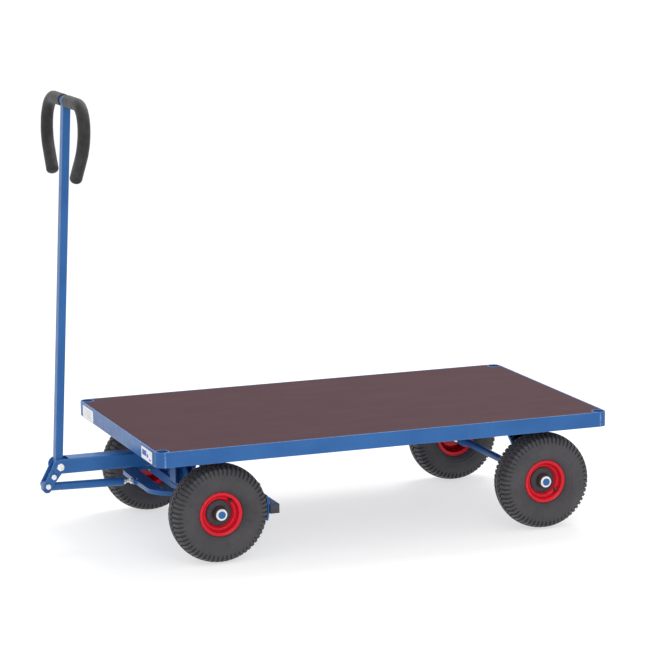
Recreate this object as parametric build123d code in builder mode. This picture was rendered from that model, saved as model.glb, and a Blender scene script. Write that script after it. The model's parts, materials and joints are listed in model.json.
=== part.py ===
from build123d import *
import math
import os

# Four-wheel platform trolley with a turntable front axle, an over-centre drawbar and a brake on
# the front tyres. Millimetres, +Z up, floor at z = 0. The drawbar is at the -X end, the left side
# is -Y, and the origin is the centre of the overall box on the floor. The drawbar stands upright
# with the brake on.

# --- Platform ---
platform_length = 1260.0
platform_width = 725.0
rail_height = 40.0
rail_leg = 30.0
rail_thickness = 4.0
deck_thickness = 12.0
deck_clearance = 1.0
socket_diameter = 38.0
socket_bore = 30.0
cross_member_width = 40.0
cross_member_wall = 2.5
middle_member_offset = 150.0

# --- Wheels and axles ---
wheel_diameter = 260.0
tyre_width = 85.0
wheel_to_frame = 13.0
track = 608.0
front_axle_inset = 177.0
rear_axle_inset = 169.0
axle_diameter = 20.0
axle_overhang = 37.0
axle_fit = 0.05
axle_chamfer = 1.5
bead_radius = 50.8
bead_gap = 0.2
bead_wall = 7.0
bead_overhang = 2.0
bead_lift = 4.0
tread_wall = 12.0
side_wall = 8.0
shoulder_inset = 6.5
shoulder_drop = 9.0
shoulder_inside_drop = 4.0
belly_depth = 38.0
tube_wall = 2.0
tube_gap = 1.5
tube_side_gap = 5.5
rim_flange_height = 6.9
rim_half_width = 28.0
rim_sheet = 3.0
hub_radius = 18.0
hub_draft = 1.0
hub_disc_radius = 31.0
hub_outboard = 30.0
hub_inboard = 36.0
hub_disc_face = 9.0
hub_disc_thickness = 4.0
disc_cone_reach = 13.0
disc_cone_inside = 8.0
disc_lip = 3.0
retainer_gap = 0.3
washer_rim = 5.0
washer_thickness = 3.0
circlip_rim = 2.5
circlip_thickness = 1.5
valve_diameter = 8.0
valve_length = 31.0
valve_root_t = 5.0
valve_root_rise = 5.2
valve_clearance = 0.2

# --- Turntable ---
turntable_plate = 6.0
turntable_size = 200.0
turntable_disc_diameter = 170.0
ball_diameter = 16.0
ball_count = 12
ball_circle_radius = 65.0
ball_groove_depth = 1.5
ball_running_gap = 0.3
ball_seat_gap = 0.05
kingpin_diameter = 20.0
kingpin_flats = 30.0
kingpin_nut_height = 12.0
turntable_bolt_offset = 80.0
bolt_clearance = 0.2

# --- Steering frame ---
channel_width = 50.0
channel_flange = 25.0
channel_wall = 4.0
gusset_reach = 110.0
gusset_rise = 60.0
gusset_thickness = 6.0
axle_beam_fit = 0.1
axle_beam_wall = 2.4
axle_beam_hub_gap = 54.0
beam_height = 40.0
beam_wall = 4.0
beam_corner = 6.0
beam_top_setback = 25.0
beam_bottom_setback = 35.0

# --- Drawbar ---
pivot_ahead = 162.0
pivot_drop = 52.0
pivot_bolt_diameter = 12.0
pivot_bolt_flats = 18.0
pivot_bolt_head = 7.5
drawbar_lean = 2.93
drawbar_width = 30.0
drawbar_depth = 20.0
drawbar_wall = 2.5
drawbar_corner = 3.0
drawbar_tail = 14.0
lever_thickness = 5.0
ear_clearance = 1.0
lever_pivot_radius = 16.0
lever_tip_radius = 11.0
link_forward = 33.0
link_down = 51.0
clamp_bolt_distance = 31.5
clamp_bolt_angle = 32.9
small_bolt_diameter = 8.0
small_bolt_flats = 13.0
small_bolt_head = 5.3
thread_tail = 2.0
thread_gap = 0.1
drawbar_swing = 60.0

# --- Handle ---
handle_height = 957.0
handle_tube_diameter = 26.5
handle_tube_wall = 2.0
handle_half_width = 178.0
handle_corner_radius = 68.0
handle_side_radius = 110.0
handle_side_turn = 38.0
handle_straight = 76.0
grip_diameter = 33.5
grip_gap = 0.3
grip_end_cover = 8.0

# --- Brake ---
shoe_gap = 0.5
shoe_thickness = 5.0
shoe_width = 34.0
shoe_below = 31.0
shoe_above = 34.0
brake_tube_size = 25.0
brake_tube_wall = 2.5
brake_tube_overhang = 21.0
brake_cap_thickness = 3.0
brake_cap_plug = 12.0
bow_bar_width = 40.0
bow_bar_thickness = 12.0
bow_rise = 21.0
bow_wheel_gap = 124.0
bow_sag = 4.0
bow_ahead = 130.0
bow_outer_corner = 80.0
bow_inner_corner = 24.0
bow_hole_diameter = 12.0
bow_hole_offset = 118.0
bow_hole_inset = 30.0
lug_width = 26.0
lug_height = 18.0
lug_thickness = 6.0
lug_drop = 0.5
lug_corner = 6.0
lug_seat = 1.0
notch_gap = 1.5
guide_length = 12.0
guide_wall = 5.0
guide_clearance = 0.5
rod_diameter = 22.0
rod_wall = 2.0
rod_end_rise = 8.5
rod_tube_start = 36.0
rod_tube_length = 174.0
rod_neck = 2.0
eye_side_gap = 3.0
eye_margin = 5.5
eye_flat = 1.0
slot_clearance = 0.35
nut_height = 6.5

# --- Rear axle stays ---
stay_wheel_gap = 89.0
stay_spread = 67.0
stay_width = 14.0
stay_thickness = 12.0
stay_boss_wall = 6.0

# --- Places worked out from the sizes above ---
tyre_radius = wheel_diameter / 2
frame_bottom = wheel_diameter + wheel_to_frame
deck_top = frame_bottom + rail_height
deck_bottom = deck_top - deck_thickness
member_bottom = frame_bottom + rail_thickness
member_height = deck_bottom - member_bottom
platform_x = (pivot_ahead + link_forward + lever_tip_radius) / 2
front_edge_x = platform_x - platform_length / 2
rear_edge_x = platform_x + platform_length / 2
front_axle_x = front_edge_x + front_axle_inset
rear_axle_x = rear_edge_x - rear_axle_inset
half_track = track / 2
half_width = platform_width / 2
axle_radius = axle_diameter / 2
axle_half_length = half_track + axle_overhang
socket_radius = socket_diameter / 2
socket_x = platform_length / 2 - socket_radius
socket_y = half_width - socket_radius

top_plate_bottom = member_bottom - turntable_plate
ball_z = top_plate_bottom + ball_groove_depth - ball_diameter / 2
disc_top = ball_z - ball_diameter / 2 + ball_groove_depth
disc_bottom = disc_top - turntable_plate
axle_beam_size = axle_diameter + 2 * (axle_beam_fit + axle_beam_wall)
axle_beam_top = tyre_radius + axle_beam_size / 2
axle_beam_length = track - 2 * axle_beam_hub_gap
washer_diameter = axle_diameter + 2 * washer_rim
circlip_diameter = axle_diameter + 2 * circlip_rim
stay_half_track = half_track - stay_wheel_gap
stay_boss_radius = axle_radius + stay_boss_wall

beam_width = drawbar_width + 2 * (lever_thickness + ear_clearance + beam_wall)
eye_width = drawbar_width - 2 * eye_side_gap
pivot_x = front_edge_x - pivot_ahead
pivot_z = frame_bottom - pivot_drop
link_x = pivot_x - link_forward
link_z = pivot_z - link_down
lean = math.radians(drawbar_lean)
link_radius = math.hypot(link_forward, link_down)
link_rest = math.atan2(link_forward, link_down)
swing = math.radians(drawbar_swing)
brake_travel = link_radius * (math.sin(link_rest) + math.sin(swing - link_rest))
link_dip = link_radius - link_down

shoe_inner_radius = tyre_radius + shoe_gap
brake_tube_front = front_axle_x + shoe_inner_radius + shoe_thickness
brake_tube_x = brake_tube_front + brake_tube_size / 2
brake_tube_top = tyre_radius + brake_tube_size / 2
brake_tube_half_length = half_track + brake_tube_overhang
bow_half_width = half_track - bow_wheel_gap
bow_bottom = tyre_radius + bow_rise
bow_top = bow_bottom + bow_bar_thickness
bow_front_x = front_axle_x - bow_ahead
bow_rear_x = brake_tube_front + brake_tube_size
rod_end_z = bow_bottom + rod_end_rise
rod_front_z = link_z - link_dip / 2
lug_front_x = bow_front_x - lug_thickness

left = -1
right = 1
sides = {"left": left, "right": right}
drawbar_axis = (math.sin(lean), 0.0, math.cos(lean))


def xz_plane(y):
    """A sketch plane at width y whose local axes are X and Z and whose normal is -Y."""
    return Plane(origin=(0, y, 0), x_dir=(1, 0, 0), z_dir=(0, -1, 0))


def finish(piece, name):
    """Label a finished piece and write it to its own STEP file."""
    piece.part.label = name
    export_step(piece.part, "parts/" + name + ".step")


def hex_bolt(x, z, diameter, flats, head, half_grip, turn=0.0):
    """A hexagon bolt along Y through a stack half_grip to each side, with its nut at +Y."""
    with BuildPart() as bolt:
        with BuildSketch(xz_plane(-half_grip)):
            with Locations((x, z)):
                RegularPolygon(flats / 2, 6, major_radius=False, rotation=turn)
        extrude(amount=head)
        with BuildSketch(xz_plane(-half_grip)):
            with Locations((x, z)):
                Circle(diameter / 2)
        extrude(amount=-(2 * half_grip + head + thread_tail))
        with BuildSketch(xz_plane(half_grip)):
            with Locations((x, z)):
                RegularPolygon(flats / 2, 6, major_radius=False, rotation=turn)
                Circle(diameter / 2 + thread_gap, mode=Mode.SUBTRACT)
        extrude(amount=-head)
    return bolt


os.makedirs("parts", exist_ok=True)

# ---------------------------------------------------------------- platform
with BuildPart() as deck_board:
    with BuildSketch(Plane.XY.offset(deck_bottom)):
        with Locations((platform_x, 0)):
            Rectangle(
                platform_length - 2 * (rail_thickness + deck_clearance),
                platform_width - 2 * (rail_thickness + deck_clearance),
            )
            with GridLocations(2 * socket_x, 2 * socket_y, 2, 2):
                Circle(socket_radius + deck_clearance, mode=Mode.SUBTRACT)
            with GridLocations(2 * socket_x + socket_diameter, 2 * socket_y + socket_diameter, 2, 2):
                Rectangle(socket_diameter, socket_diameter, mode=Mode.SUBTRACT)
    extrude(amount=deck_thickness)
finish(deck_board, "deck_board")

for side_name, side in sides.items():
    with BuildPart() as side_rail:
        with BuildSketch(Plane.YZ.offset(platform_x - socket_x)):
            with BuildLine():
                Polyline(
                    (side * half_width, frame_bottom),
                    (side * half_width, deck_top),
                    (side * (half_width - rail_thickness), deck_top),
                    (side * (half_width - rail_thickness), member_bottom),
                    (side * (half_width - rail_leg), member_bottom),
                    (side * (half_width - rail_leg), frame_bottom),
                    close=True,
                )
            make_face()
        extrude(amount=2 * socket_x)
        with BuildSketch(Plane.XY.offset(frame_bottom)):
            with Locations((platform_x, 0)):
                with GridLocations(2 * socket_x, 2 * socket_y, 2, 2):
                    Circle(socket_radius)
        extrude(amount=rail_height, mode=Mode.SUBTRACT)
    finish(side_rail, "side_rail_" + side_name)

for end_name, end in (("front", -1), ("rear", 1)):
    edge_x = platform_x + end * platform_length / 2
    with BuildPart() as end_rail:
        with BuildSketch(xz_plane(socket_y)):
            with BuildLine():
                Polyline(
                    (edge_x, frame_bottom),
                    (edge_x, deck_top),
                    (edge_x - end * rail_thickness, deck_top),
                    (edge_x - end * rail_thickness, member_bottom),
                    (edge_x - end * rail_leg, member_bottom),
                    (edge_x - end * rail_leg, frame_bottom),
                    close=True,
                )
            make_face()
        extrude(amount=2 * socket_y)
        with BuildSketch(Plane.XY.offset(frame_bottom)):
            with Locations((platform_x, 0)):
                with GridLocations(2 * socket_x, 2 * socket_y, 2, 2):
                    Circle(socket_radius)
        extrude(amount=rail_height, mode=Mode.SUBTRACT)
    finish(end_rail, "end_rail_" + end_name)

for end_name, end in (("front", -1), ("rear", 1)):
    for side_name, side in sides.items():
        with BuildPart() as corner_socket:
            with BuildSketch(Plane.XY.offset(frame_bottom)):
                with Locations((platform_x + end * socket_x, side * socket_y)):
                    Circle(socket_radius)
                    Circle(socket_bore / 2, mode=Mode.SUBTRACT)
            extrude(amount=rail_height)
        finish(corner_socket, "corner_socket_" + end_name + "_" + side_name)

# Box-section cross members on the rails' legs: two over the turntable, two in the middle and two
# over the rear stays. The front pair has the turntable's bolt holes in its lower walls.
member_places = (
    front_axle_x - turntable_bolt_offset,
    front_axle_x + turntable_bolt_offset,
    platform_x - middle_member_offset,
    platform_x + middle_member_offset,
    rear_axle_x - stay_spread,
    rear_axle_x + stay_spread,
)
turntable_bolt_places = [
    (front_axle_x + dx * turntable_bolt_offset, dy * turntable_bolt_offset)
    for dx in (-1, 1)
    for dy in (-1, 1)
]
with BuildPart() as cross_members:
    with BuildSketch(xz_plane(0)):
        with Locations(*[(x, member_bottom + member_height / 2) for x in member_places]):
            Rectangle(cross_member_width, member_height)
            Rectangle(
                cross_member_width - 2 * cross_member_wall,
                member_height - 2 * cross_member_wall,
                mode=Mode.SUBTRACT,
            )
    extrude(amount=half_width - rail_thickness, both=True)
    with BuildSketch(Plane.XY.offset(member_bottom)):
        with Locations(*turntable_bolt_places):
            Circle(small_bolt_diameter / 2 + bolt_clearance)
    extrude(amount=cross_member_wall, mode=Mode.SUBTRACT)
finish(cross_members, "cross_members")

# ---------------------------------------------------------------- turntable
with BuildPart() as turntable_top_plate:
    with BuildSketch(Plane.XY.offset(top_plate_bottom)):
        with Locations((front_axle_x, 0)):
            Rectangle(turntable_size, turntable_size)
            Circle(kingpin_diameter / 2 + axle_fit, mode=Mode.SUBTRACT)
        with Locations(*turntable_bolt_places):
            Circle(small_bolt_diameter / 2 + bolt_clearance, mode=Mode.SUBTRACT)
    extrude(amount=turntable_plate)
    with BuildSketch(Plane(origin=(front_axle_x, 0, 0), x_dir=(0, 1, 0), z_dir=(1, 0, 0))):
        with Locations((ball_circle_radius, ball_z)):
            Circle(ball_diameter / 2 + ball_running_gap)
    revolve(axis=Axis((front_axle_x, 0, 0), (0, 0, 1)), mode=Mode.SUBTRACT)
finish(turntable_top_plate, "turntable_top_plate")

with BuildPart() as turntable_bolts:
    with BuildSketch(Plane.XY.offset(top_plate_bottom - small_bolt_head)):
        with Locations(*turntable_bolt_places):
            RegularPolygon(small_bolt_flats / 2, 6, major_radius=False)
    extrude(amount=small_bolt_head)
    with BuildSketch(Plane.XY.offset(top_plate_bottom)):
        with Locations(*turntable_bolt_places):
            Circle(small_bolt_diameter / 2)
    extrude(amount=turntable_plate + cross_member_wall + nut_height + thread_tail)
    with BuildSketch(Plane.XY.offset(member_bottom + cross_member_wall)):
        with Locations(*turntable_bolt_places):
            RegularPolygon(small_bolt_flats / 2, 6, major_radius=False)
            Circle(small_bolt_diameter / 2 + thread_gap, mode=Mode.SUBTRACT)
    extrude(amount=nut_height)
finish(turntable_bolts, "turntable_bolts")

with BuildPart() as turntable_disc:
    with BuildSketch(Plane.XY.offset(disc_bottom)):
        with Locations((front_axle_x, 0)):
            Circle(turntable_disc_diameter / 2)
            Circle(kingpin_diameter / 2, mode=Mode.SUBTRACT)
    extrude(amount=turntable_plate)
    with BuildSketch(Plane(origin=(front_axle_x, 0, 0), x_dir=(0, 1, 0), z_dir=(1, 0, 0))):
        with Locations((ball_circle_radius, ball_z)):
            Circle(ball_diameter / 2 + ball_seat_gap)
    revolve(axis=Axis((front_axle_x, 0, 0), (0, 0, 1)), mode=Mode.SUBTRACT)
finish(turntable_disc, "turntable_disc")

with BuildPart() as turntable_balls:
    with Locations((front_axle_x, 0, ball_z)):
        with PolarLocations(ball_circle_radius, ball_count):
            Sphere(ball_diameter / 2)
finish(turntable_balls, "turntable_balls")

# The kingpin is welded into the disc and runs in the top plate, under a washer and nut.
kingpin_nut_bottom = member_bottom + retainer_gap + washer_thickness
with BuildPart() as kingpin:
    with BuildSketch(Plane.XY.offset(disc_bottom)):
        with Locations((front_axle_x, 0)):
            Circle(kingpin_diameter / 2)
    extrude(amount=kingpin_nut_bottom + kingpin_nut_height + thread_tail - disc_bottom)
    with BuildSketch(Plane.XY.offset(member_bottom + retainer_gap)):
        with Locations((front_axle_x, 0)):
            Circle(kingpin_diameter)
            Circle(kingpin_diameter / 2 + axle_fit, mode=Mode.SUBTRACT)
    extrude(amount=washer_thickness - axle_fit)
    with BuildSketch(Plane.XY.offset(kingpin_nut_bottom)):
        with Locations((front_axle_x, 0)):
            RegularPolygon(kingpin_flats / 2, 6, major_radius=False)
            Circle(kingpin_diameter / 2 + axle_fit, mode=Mode.SUBTRACT)
    extrude(amount=kingpin_nut_height)
finish(kingpin, "kingpin")

# ---------------------------------------------------------------- steering frame
# Two channels back to back carry the turntable disc on the front axle beam.
with BuildPart() as pedestal:
    for side in (left, right):
        with BuildSketch(Plane.XY.offset(axle_beam_top)):
            with BuildLine():
                Polyline(
                    (front_axle_x - channel_width / 2, 0),
                    (front_axle_x + channel_width / 2, 0),
                    (front_axle_x + channel_width / 2, side * channel_flange),
                    (front_axle_x + channel_width / 2 - channel_wall, side * channel_flange),
                    (front_axle_x + channel_width / 2 - channel_wall, side * channel_wall),
                    (front_axle_x - channel_width / 2 + channel_wall, side * channel_wall),
                    (front_axle_x - channel_width / 2 + channel_wall, side * channel_flange),
                    (front_axle_x - channel_width / 2, side * channel_flange),
                    close=True,
                )
            make_face()
        extrude(amount=disc_bottom - axle_beam_top)
finish(pedestal, "pedestal")

with BuildPart() as axle_gussets:
    for side in (left, right):
        with BuildSketch(Plane.YZ.offset(front_axle_x - gusset_thickness / 2)):
            with BuildLine():
                Polyline(
                    (side * channel_wall, axle_beam_top),
                    (side * gusset_reach, axle_beam_top),
                    (side * gusset_reach, axle_beam_top + gusset_thickness),
                    (side * channel_flange, axle_beam_top + gusset_rise),
                    (side * channel_wall, axle_beam_top + gusset_rise),
                    close=True,
                )
            make_face()
        extrude(amount=gusset_thickness)
finish(axle_gussets, "axle_gussets")

with BuildPart() as axle_beam:
    with BuildSketch(xz_plane(0)):
        with Locations((front_axle_x, tyre_radius)):
            Rectangle(axle_beam_size, axle_beam_size)
            Rectangle(
                axle_diameter + 2 * axle_beam_fit,
                axle_diameter + 2 * axle_beam_fit,
                mode=Mode.SUBTRACT,
            )
    extrude(amount=axle_beam_length / 2, both=True)
finish(axle_beam, "axle_beam")

for end_name, axle_x in (("front", front_axle_x), ("rear", rear_axle_x)):
    with BuildPart() as axle:
        with BuildSketch(xz_plane(0)):
            with Locations((axle_x, tyre_radius)):
                Circle(axle_radius)
        extrude(amount=axle_half_length, both=True)
        chamfer(axle.edges().filter_by(GeomType.CIRCLE), length=axle_chamfer)
    finish(axle, end_name + "_axle")

    # A collar inside each hub, and a washer and circlip outside it.
    hub_outer_y = half_track + hub_outboard + retainer_gap
    collar_y = half_track - hub_inboard - retainer_gap
    ring_stack = (
        (hub_outer_y, washer_thickness, washer_diameter),
        (hub_outer_y + washer_thickness + axle_fit, circlip_thickness, circlip_diameter),
        (collar_y - washer_thickness, washer_thickness, washer_diameter),
    )
    with BuildPart() as retainers:
        for side in (left, right):
            for inner_y, thickness, diameter in ring_stack:
                with BuildSketch(xz_plane(side * inner_y)):
                    with Locations((axle_x, tyre_radius)):
                        Circle(diameter / 2)
                        Circle(axle_radius, mode=Mode.SUBTRACT)
                extrude(amount=-side * thickness)
    finish(retainers, end_name + "_axle_retainers")

# The tow beam's top and bottom walls stop short of the pivot, so that its side walls are ears.
with BuildPart() as tow_beam:
    beam_start = pivot_x - beam_height / 2
    beam_end = front_axle_x - channel_width / 2
    with BuildSketch(Plane.YZ.offset(beam_start)):
        with Locations((0, pivot_z)):
            RectangleRounded(beam_width, beam_height, beam_corner)
            Rectangle(beam_width - 2 * beam_wall, beam_height - 2 * beam_wall, mode=Mode.SUBTRACT)
    extrude(amount=beam_end - beam_start)
    with BuildSketch(xz_plane(0)):
        with Locations((pivot_x, pivot_z)):
            Circle(beam_height / 2)
        with Locations(((pivot_x + beam_end) / 2, pivot_z)):
            Rectangle(beam_end - pivot_x, beam_height)
    extrude(amount=beam_width / 2, both=True, mode=Mode.INTERSECT)
    for top, setback in ((1, beam_top_setback), (-1, beam_bottom_setback)):
        cut_length = beam_height / 2 + setback
        with BuildSketch(Plane.XY.offset(pivot_z)):
            with Locations((beam_start + cut_length / 2, 0)):
                Rectangle(cut_length, beam_width - 2 * beam_wall)
        extrude(amount=top * beam_height / 2, mode=Mode.SUBTRACT)
    with BuildSketch(xz_plane(0)):
        with Locations((pivot_x, pivot_z)):
            Circle(pivot_bolt_diameter / 2 + axle_fit)
    extrude(amount=beam_width, both=True, mode=Mode.SUBTRACT)
finish(tow_beam, "tow_beam")

pivot_bolt = hex_bolt(
    pivot_x, pivot_z, pivot_bolt_diameter, pivot_bolt_flats, pivot_bolt_head, beam_width / 2, 30
)
finish(pivot_bolt, "pivot_bolt")

# Windows on the axle beam in which the brake bow's arms slide.
guide_y = bow_half_width - bow_bar_width / 2
window_width = bow_bar_width + 2 * guide_clearance
window_bottom = bow_bottom - guide_clearance
window_top = bow_top + guide_clearance
with BuildPart() as brake_guides:
    for side in (left, right):
        with BuildSketch(Plane.YZ.offset(front_axle_x)):
            with Locations((side * guide_y, (axle_beam_top + window_top + guide_wall) / 2)):
                Rectangle(window_width + 2 * guide_wall, window_top + guide_wall - axle_beam_top)
            with Locations((side * guide_y, (window_bottom + window_top) / 2)):
                Rectangle(window_width, window_top - window_bottom, mode=Mode.SUBTRACT)
        extrude(amount=guide_length)
finish(brake_guides, "brake_guides")

# ---------------------------------------------------------------- drawbar
section_plane = Plane(origin=(pivot_x, 0, pivot_z), x_dir=(0, 1, 0), z_dir=drawbar_axis)
handle_plane = Plane(
    origin=(pivot_x, 0, pivot_z), x_dir=(0, 1, 0), z_dir=(math.cos(lean), 0, -math.sin(lean))
)
handle_top = (
    pivot_x + handle_height * math.sin(lean),
    0,
    pivot_z + handle_height * math.cos(lean),
)

with BuildPart() as drawbar_tube:
    with BuildSketch(section_plane.offset(-drawbar_tail)):
        RectangleRounded(drawbar_width, drawbar_depth, drawbar_corner)
        Rectangle(
            drawbar_width - 2 * drawbar_wall, drawbar_depth - 2 * drawbar_wall, mode=Mode.SUBTRACT
        )
    extrude(amount=drawbar_tail + handle_height)
    with BuildSketch(xz_plane(0)):
        with Locations((pivot_x, pivot_z)):
            Circle(pivot_bolt_diameter / 2 + axle_fit)
        with Locations((handle_top[0], handle_top[2])):
            Circle(handle_tube_diameter / 2)
    extrude(amount=drawbar_width, both=True, mode=Mode.SUBTRACT)
finish(drawbar_tube, "drawbar_tube")

clamp_angle = math.radians(clamp_bolt_angle)
clamp_x = pivot_x - clamp_bolt_distance * math.sin(clamp_angle)
clamp_z = pivot_z - clamp_bolt_distance * math.cos(clamp_angle)
for side_name, side in sides.items():
    with BuildPart() as lever_plate:
        with BuildSketch(xz_plane(side * drawbar_width / 2)):
            with Locations((pivot_x, pivot_z)):
                Circle(lever_pivot_radius)
            with Locations((link_x, link_z)):
                Circle(lever_tip_radius)
            make_hull()
            with Locations((pivot_x, pivot_z)):
                Circle(pivot_bolt_diameter / 2 + axle_fit, mode=Mode.SUBTRACT)
            with Locations((link_x, link_z), (clamp_x, clamp_z)):
                Circle(small_bolt_diameter / 2, mode=Mode.SUBTRACT)
        extrude(amount=-side * lever_thickness)
    finish(lever_plate, "lever_plate_" + side_name)

lever_half_grip = drawbar_width / 2 + lever_thickness
clamp_bolt = hex_bolt(
    clamp_x, clamp_z, small_bolt_diameter, small_bolt_flats, small_bolt_head, lever_half_grip, 30
)
link_bolt = hex_bolt(
    link_x, link_z, small_bolt_diameter, small_bolt_flats, small_bolt_head, lever_half_grip, 0
)
with BuildPart() as lever_bolts:
    add(clamp_bolt.part)
    add(link_bolt.part)
finish(lever_bolts, "lever_bolts")

# The handle's centre line runs out along Y, round a corner, down and back in towards the tip.
grip_start = drawbar_width / 2 + grip_gap
corner_y = handle_half_width - handle_corner_radius
corner_v = handle_height - handle_corner_radius
side_centre_y = handle_half_width - handle_side_radius
turn = math.radians(handle_side_turn)
straight_start = (
    side_centre_y + handle_side_radius * math.cos(turn),
    corner_v - handle_side_radius * math.sin(turn),
)


def handle_tip(cover):
    """The end of the handle's centre line, cover short of the grip's end."""
    length = handle_straight - cover
    return (
        straight_start[0] - length * math.sin(turn),
        straight_start[1] - length * math.cos(turn),
    )


with BuildPart() as handle_tube:
    with BuildLine(handle_plane):
        Line((0, handle_height), (corner_y, handle_height))
        CenterArc((corner_y, corner_v), handle_corner_radius, 90, -90)
        CenterArc((side_centre_y, corner_v), handle_side_radius, 0, -handle_side_turn)
        Line(straight_start, handle_tip(grip_end_cover))
    with BuildSketch(Plane(origin=handle_top, z_dir=(0, 1, 0))):
        Circle(handle_tube_diameter / 2)
        Circle(handle_tube_diameter / 2 - handle_tube_wall, mode=Mode.SUBTRACT)
    sweep()
    mirror(about=Plane.XZ)
finish(handle_tube, "handle_tube")

grip_start_point = (handle_top[0], grip_start, handle_top[2])
for side_name, side in sides.items():
    with BuildPart() as handle_grip:
        with BuildLine(handle_plane):
            Line((grip_start, handle_height), (corner_y, handle_height))
            CenterArc((corner_y, corner_v), handle_corner_radius, 90, -90)
            CenterArc((side_centre_y, corner_v), handle_side_radius, 0, -handle_side_turn)
            Line(straight_start, handle_tip(0))
        with BuildSketch(Plane(origin=grip_start_point, z_dir=(0, 1, 0))):
            Circle(grip_diameter / 2)
        sweep()
        fillet(handle_grip.edges().sort_by(Axis.Z)[0], radius=grip_end_cover)
        with BuildLine(handle_plane):
            Line((grip_start, handle_height), (corner_y, handle_height))
            CenterArc((corner_y, corner_v), handle_corner_radius, 90, -90)
            CenterArc((side_centre_y, corner_v), handle_side_radius, 0, -handle_side_turn)
            Line(straight_start, handle_tip(grip_end_cover))
        with BuildSketch(Plane(origin=grip_start_point, z_dir=(0, 1, 0))):
            Circle(handle_tube_diameter / 2)
        sweep(mode=Mode.SUBTRACT)
        if side == left:
            mirror(about=Plane.XZ, mode=Mode.REPLACE)
    finish(handle_grip, "handle_grip_" + side_name)

# ---------------------------------------------------------------- brake
# The rod slopes from its slotted eye between the lever plates down to the bow's lug.
rod_start = (link_x, 0, rod_front_z)
rod_end = (lug_front_x, 0, rod_end_z)
rod_run = (rod_end[0] - rod_start[0], 0, rod_end[2] - rod_start[2])
rod_plane = Plane(origin=rod_start, x_dir=(0, 1, 0), z_dir=rod_run)
rod_length = math.hypot(rod_run[0], rod_run[2])

# The link bolt drops and rises in the eye's upright slot while the rod slides along X. The rod
# slides in proportion to the drawbar's turn, so the bolt also drifts a little along the slot's
# width, most where the bolt's own speed along X equals the rod's.
drift_turn = math.acos(brake_travel / (swing * link_radius))
rod_slide = brake_travel * (link_rest - drift_turn) / swing
bolt_slide = link_radius * (math.sin(link_rest) - math.sin(drift_turn))
slot_half_width = small_bolt_diameter / 2 + rod_slide - bolt_slide + slot_clearance
slot_half_height = link_dip / 2 + small_bolt_diameter / 2 + slot_clearance
eye_half_height = slot_half_height + eye_margin
eye_half_length = lever_tip_radius
with BuildPart() as brake_rod_eye:
    with BuildSketch(xz_plane(0)):
        with Locations((link_x, rod_front_z)):
            RectangleRounded(2 * eye_half_length, 2 * eye_half_height, eye_half_length - eye_flat)
    extrude(amount=eye_width / 2, both=True)
    with BuildSketch(rod_plane):
        Circle(rod_diameter / 2)
    extrude(amount=rod_tube_start - rod_neck)
    with BuildSketch(rod_plane):
        Circle(rod_diameter / 2 - rod_wall)
    extrude(amount=rod_tube_start + rod_diameter)
    with BuildSketch(xz_plane(0)):
        with Locations((link_x, rod_front_z)):
            Rectangle(2 * slot_half_width, 2 * slot_half_height)
    extrude(amount=eye_width, both=True, mode=Mode.SUBTRACT)
finish(brake_rod_eye, "brake_rod_eye")

with BuildPart() as brake_rod_tube:
    with BuildSketch(rod_plane.offset(rod_tube_start)):
        Circle(rod_diameter / 2)
        Circle(rod_diameter / 2 - rod_wall, mode=Mode.SUBTRACT)
    extrude(amount=rod_tube_length)
finish(brake_rod_tube, "brake_rod_tube")

# A stud with a lock nut against the tube and a nut on each side of the bow's lug.
stud_radius = small_bolt_diameter / 2
rod_tube_end = rod_tube_start + rod_tube_length
stud_start = rod_tube_end - 3 * small_bolt_diameter
stud_end = rod_length + lug_thickness + nut_height + thread_tail
nut_starts = (
    rod_tube_end,
    rod_length - nut_height - retainer_gap,
    rod_length + lug_thickness + retainer_gap,
)
with BuildPart() as brake_rod_stud:
    with BuildSketch(rod_plane.offset(stud_start)):
        Circle(stud_radius)
    extrude(amount=stud_end - stud_start)
    for start in nut_starts:
        with BuildSketch(rod_plane.offset(start)):
            RegularPolygon(small_bolt_flats / 2, 6, major_radius=False)
            Circle(stud_radius + axle_fit, mode=Mode.SUBTRACT)
        extrude(amount=nut_height)
finish(brake_rod_stud, "brake_rod_stud")

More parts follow.
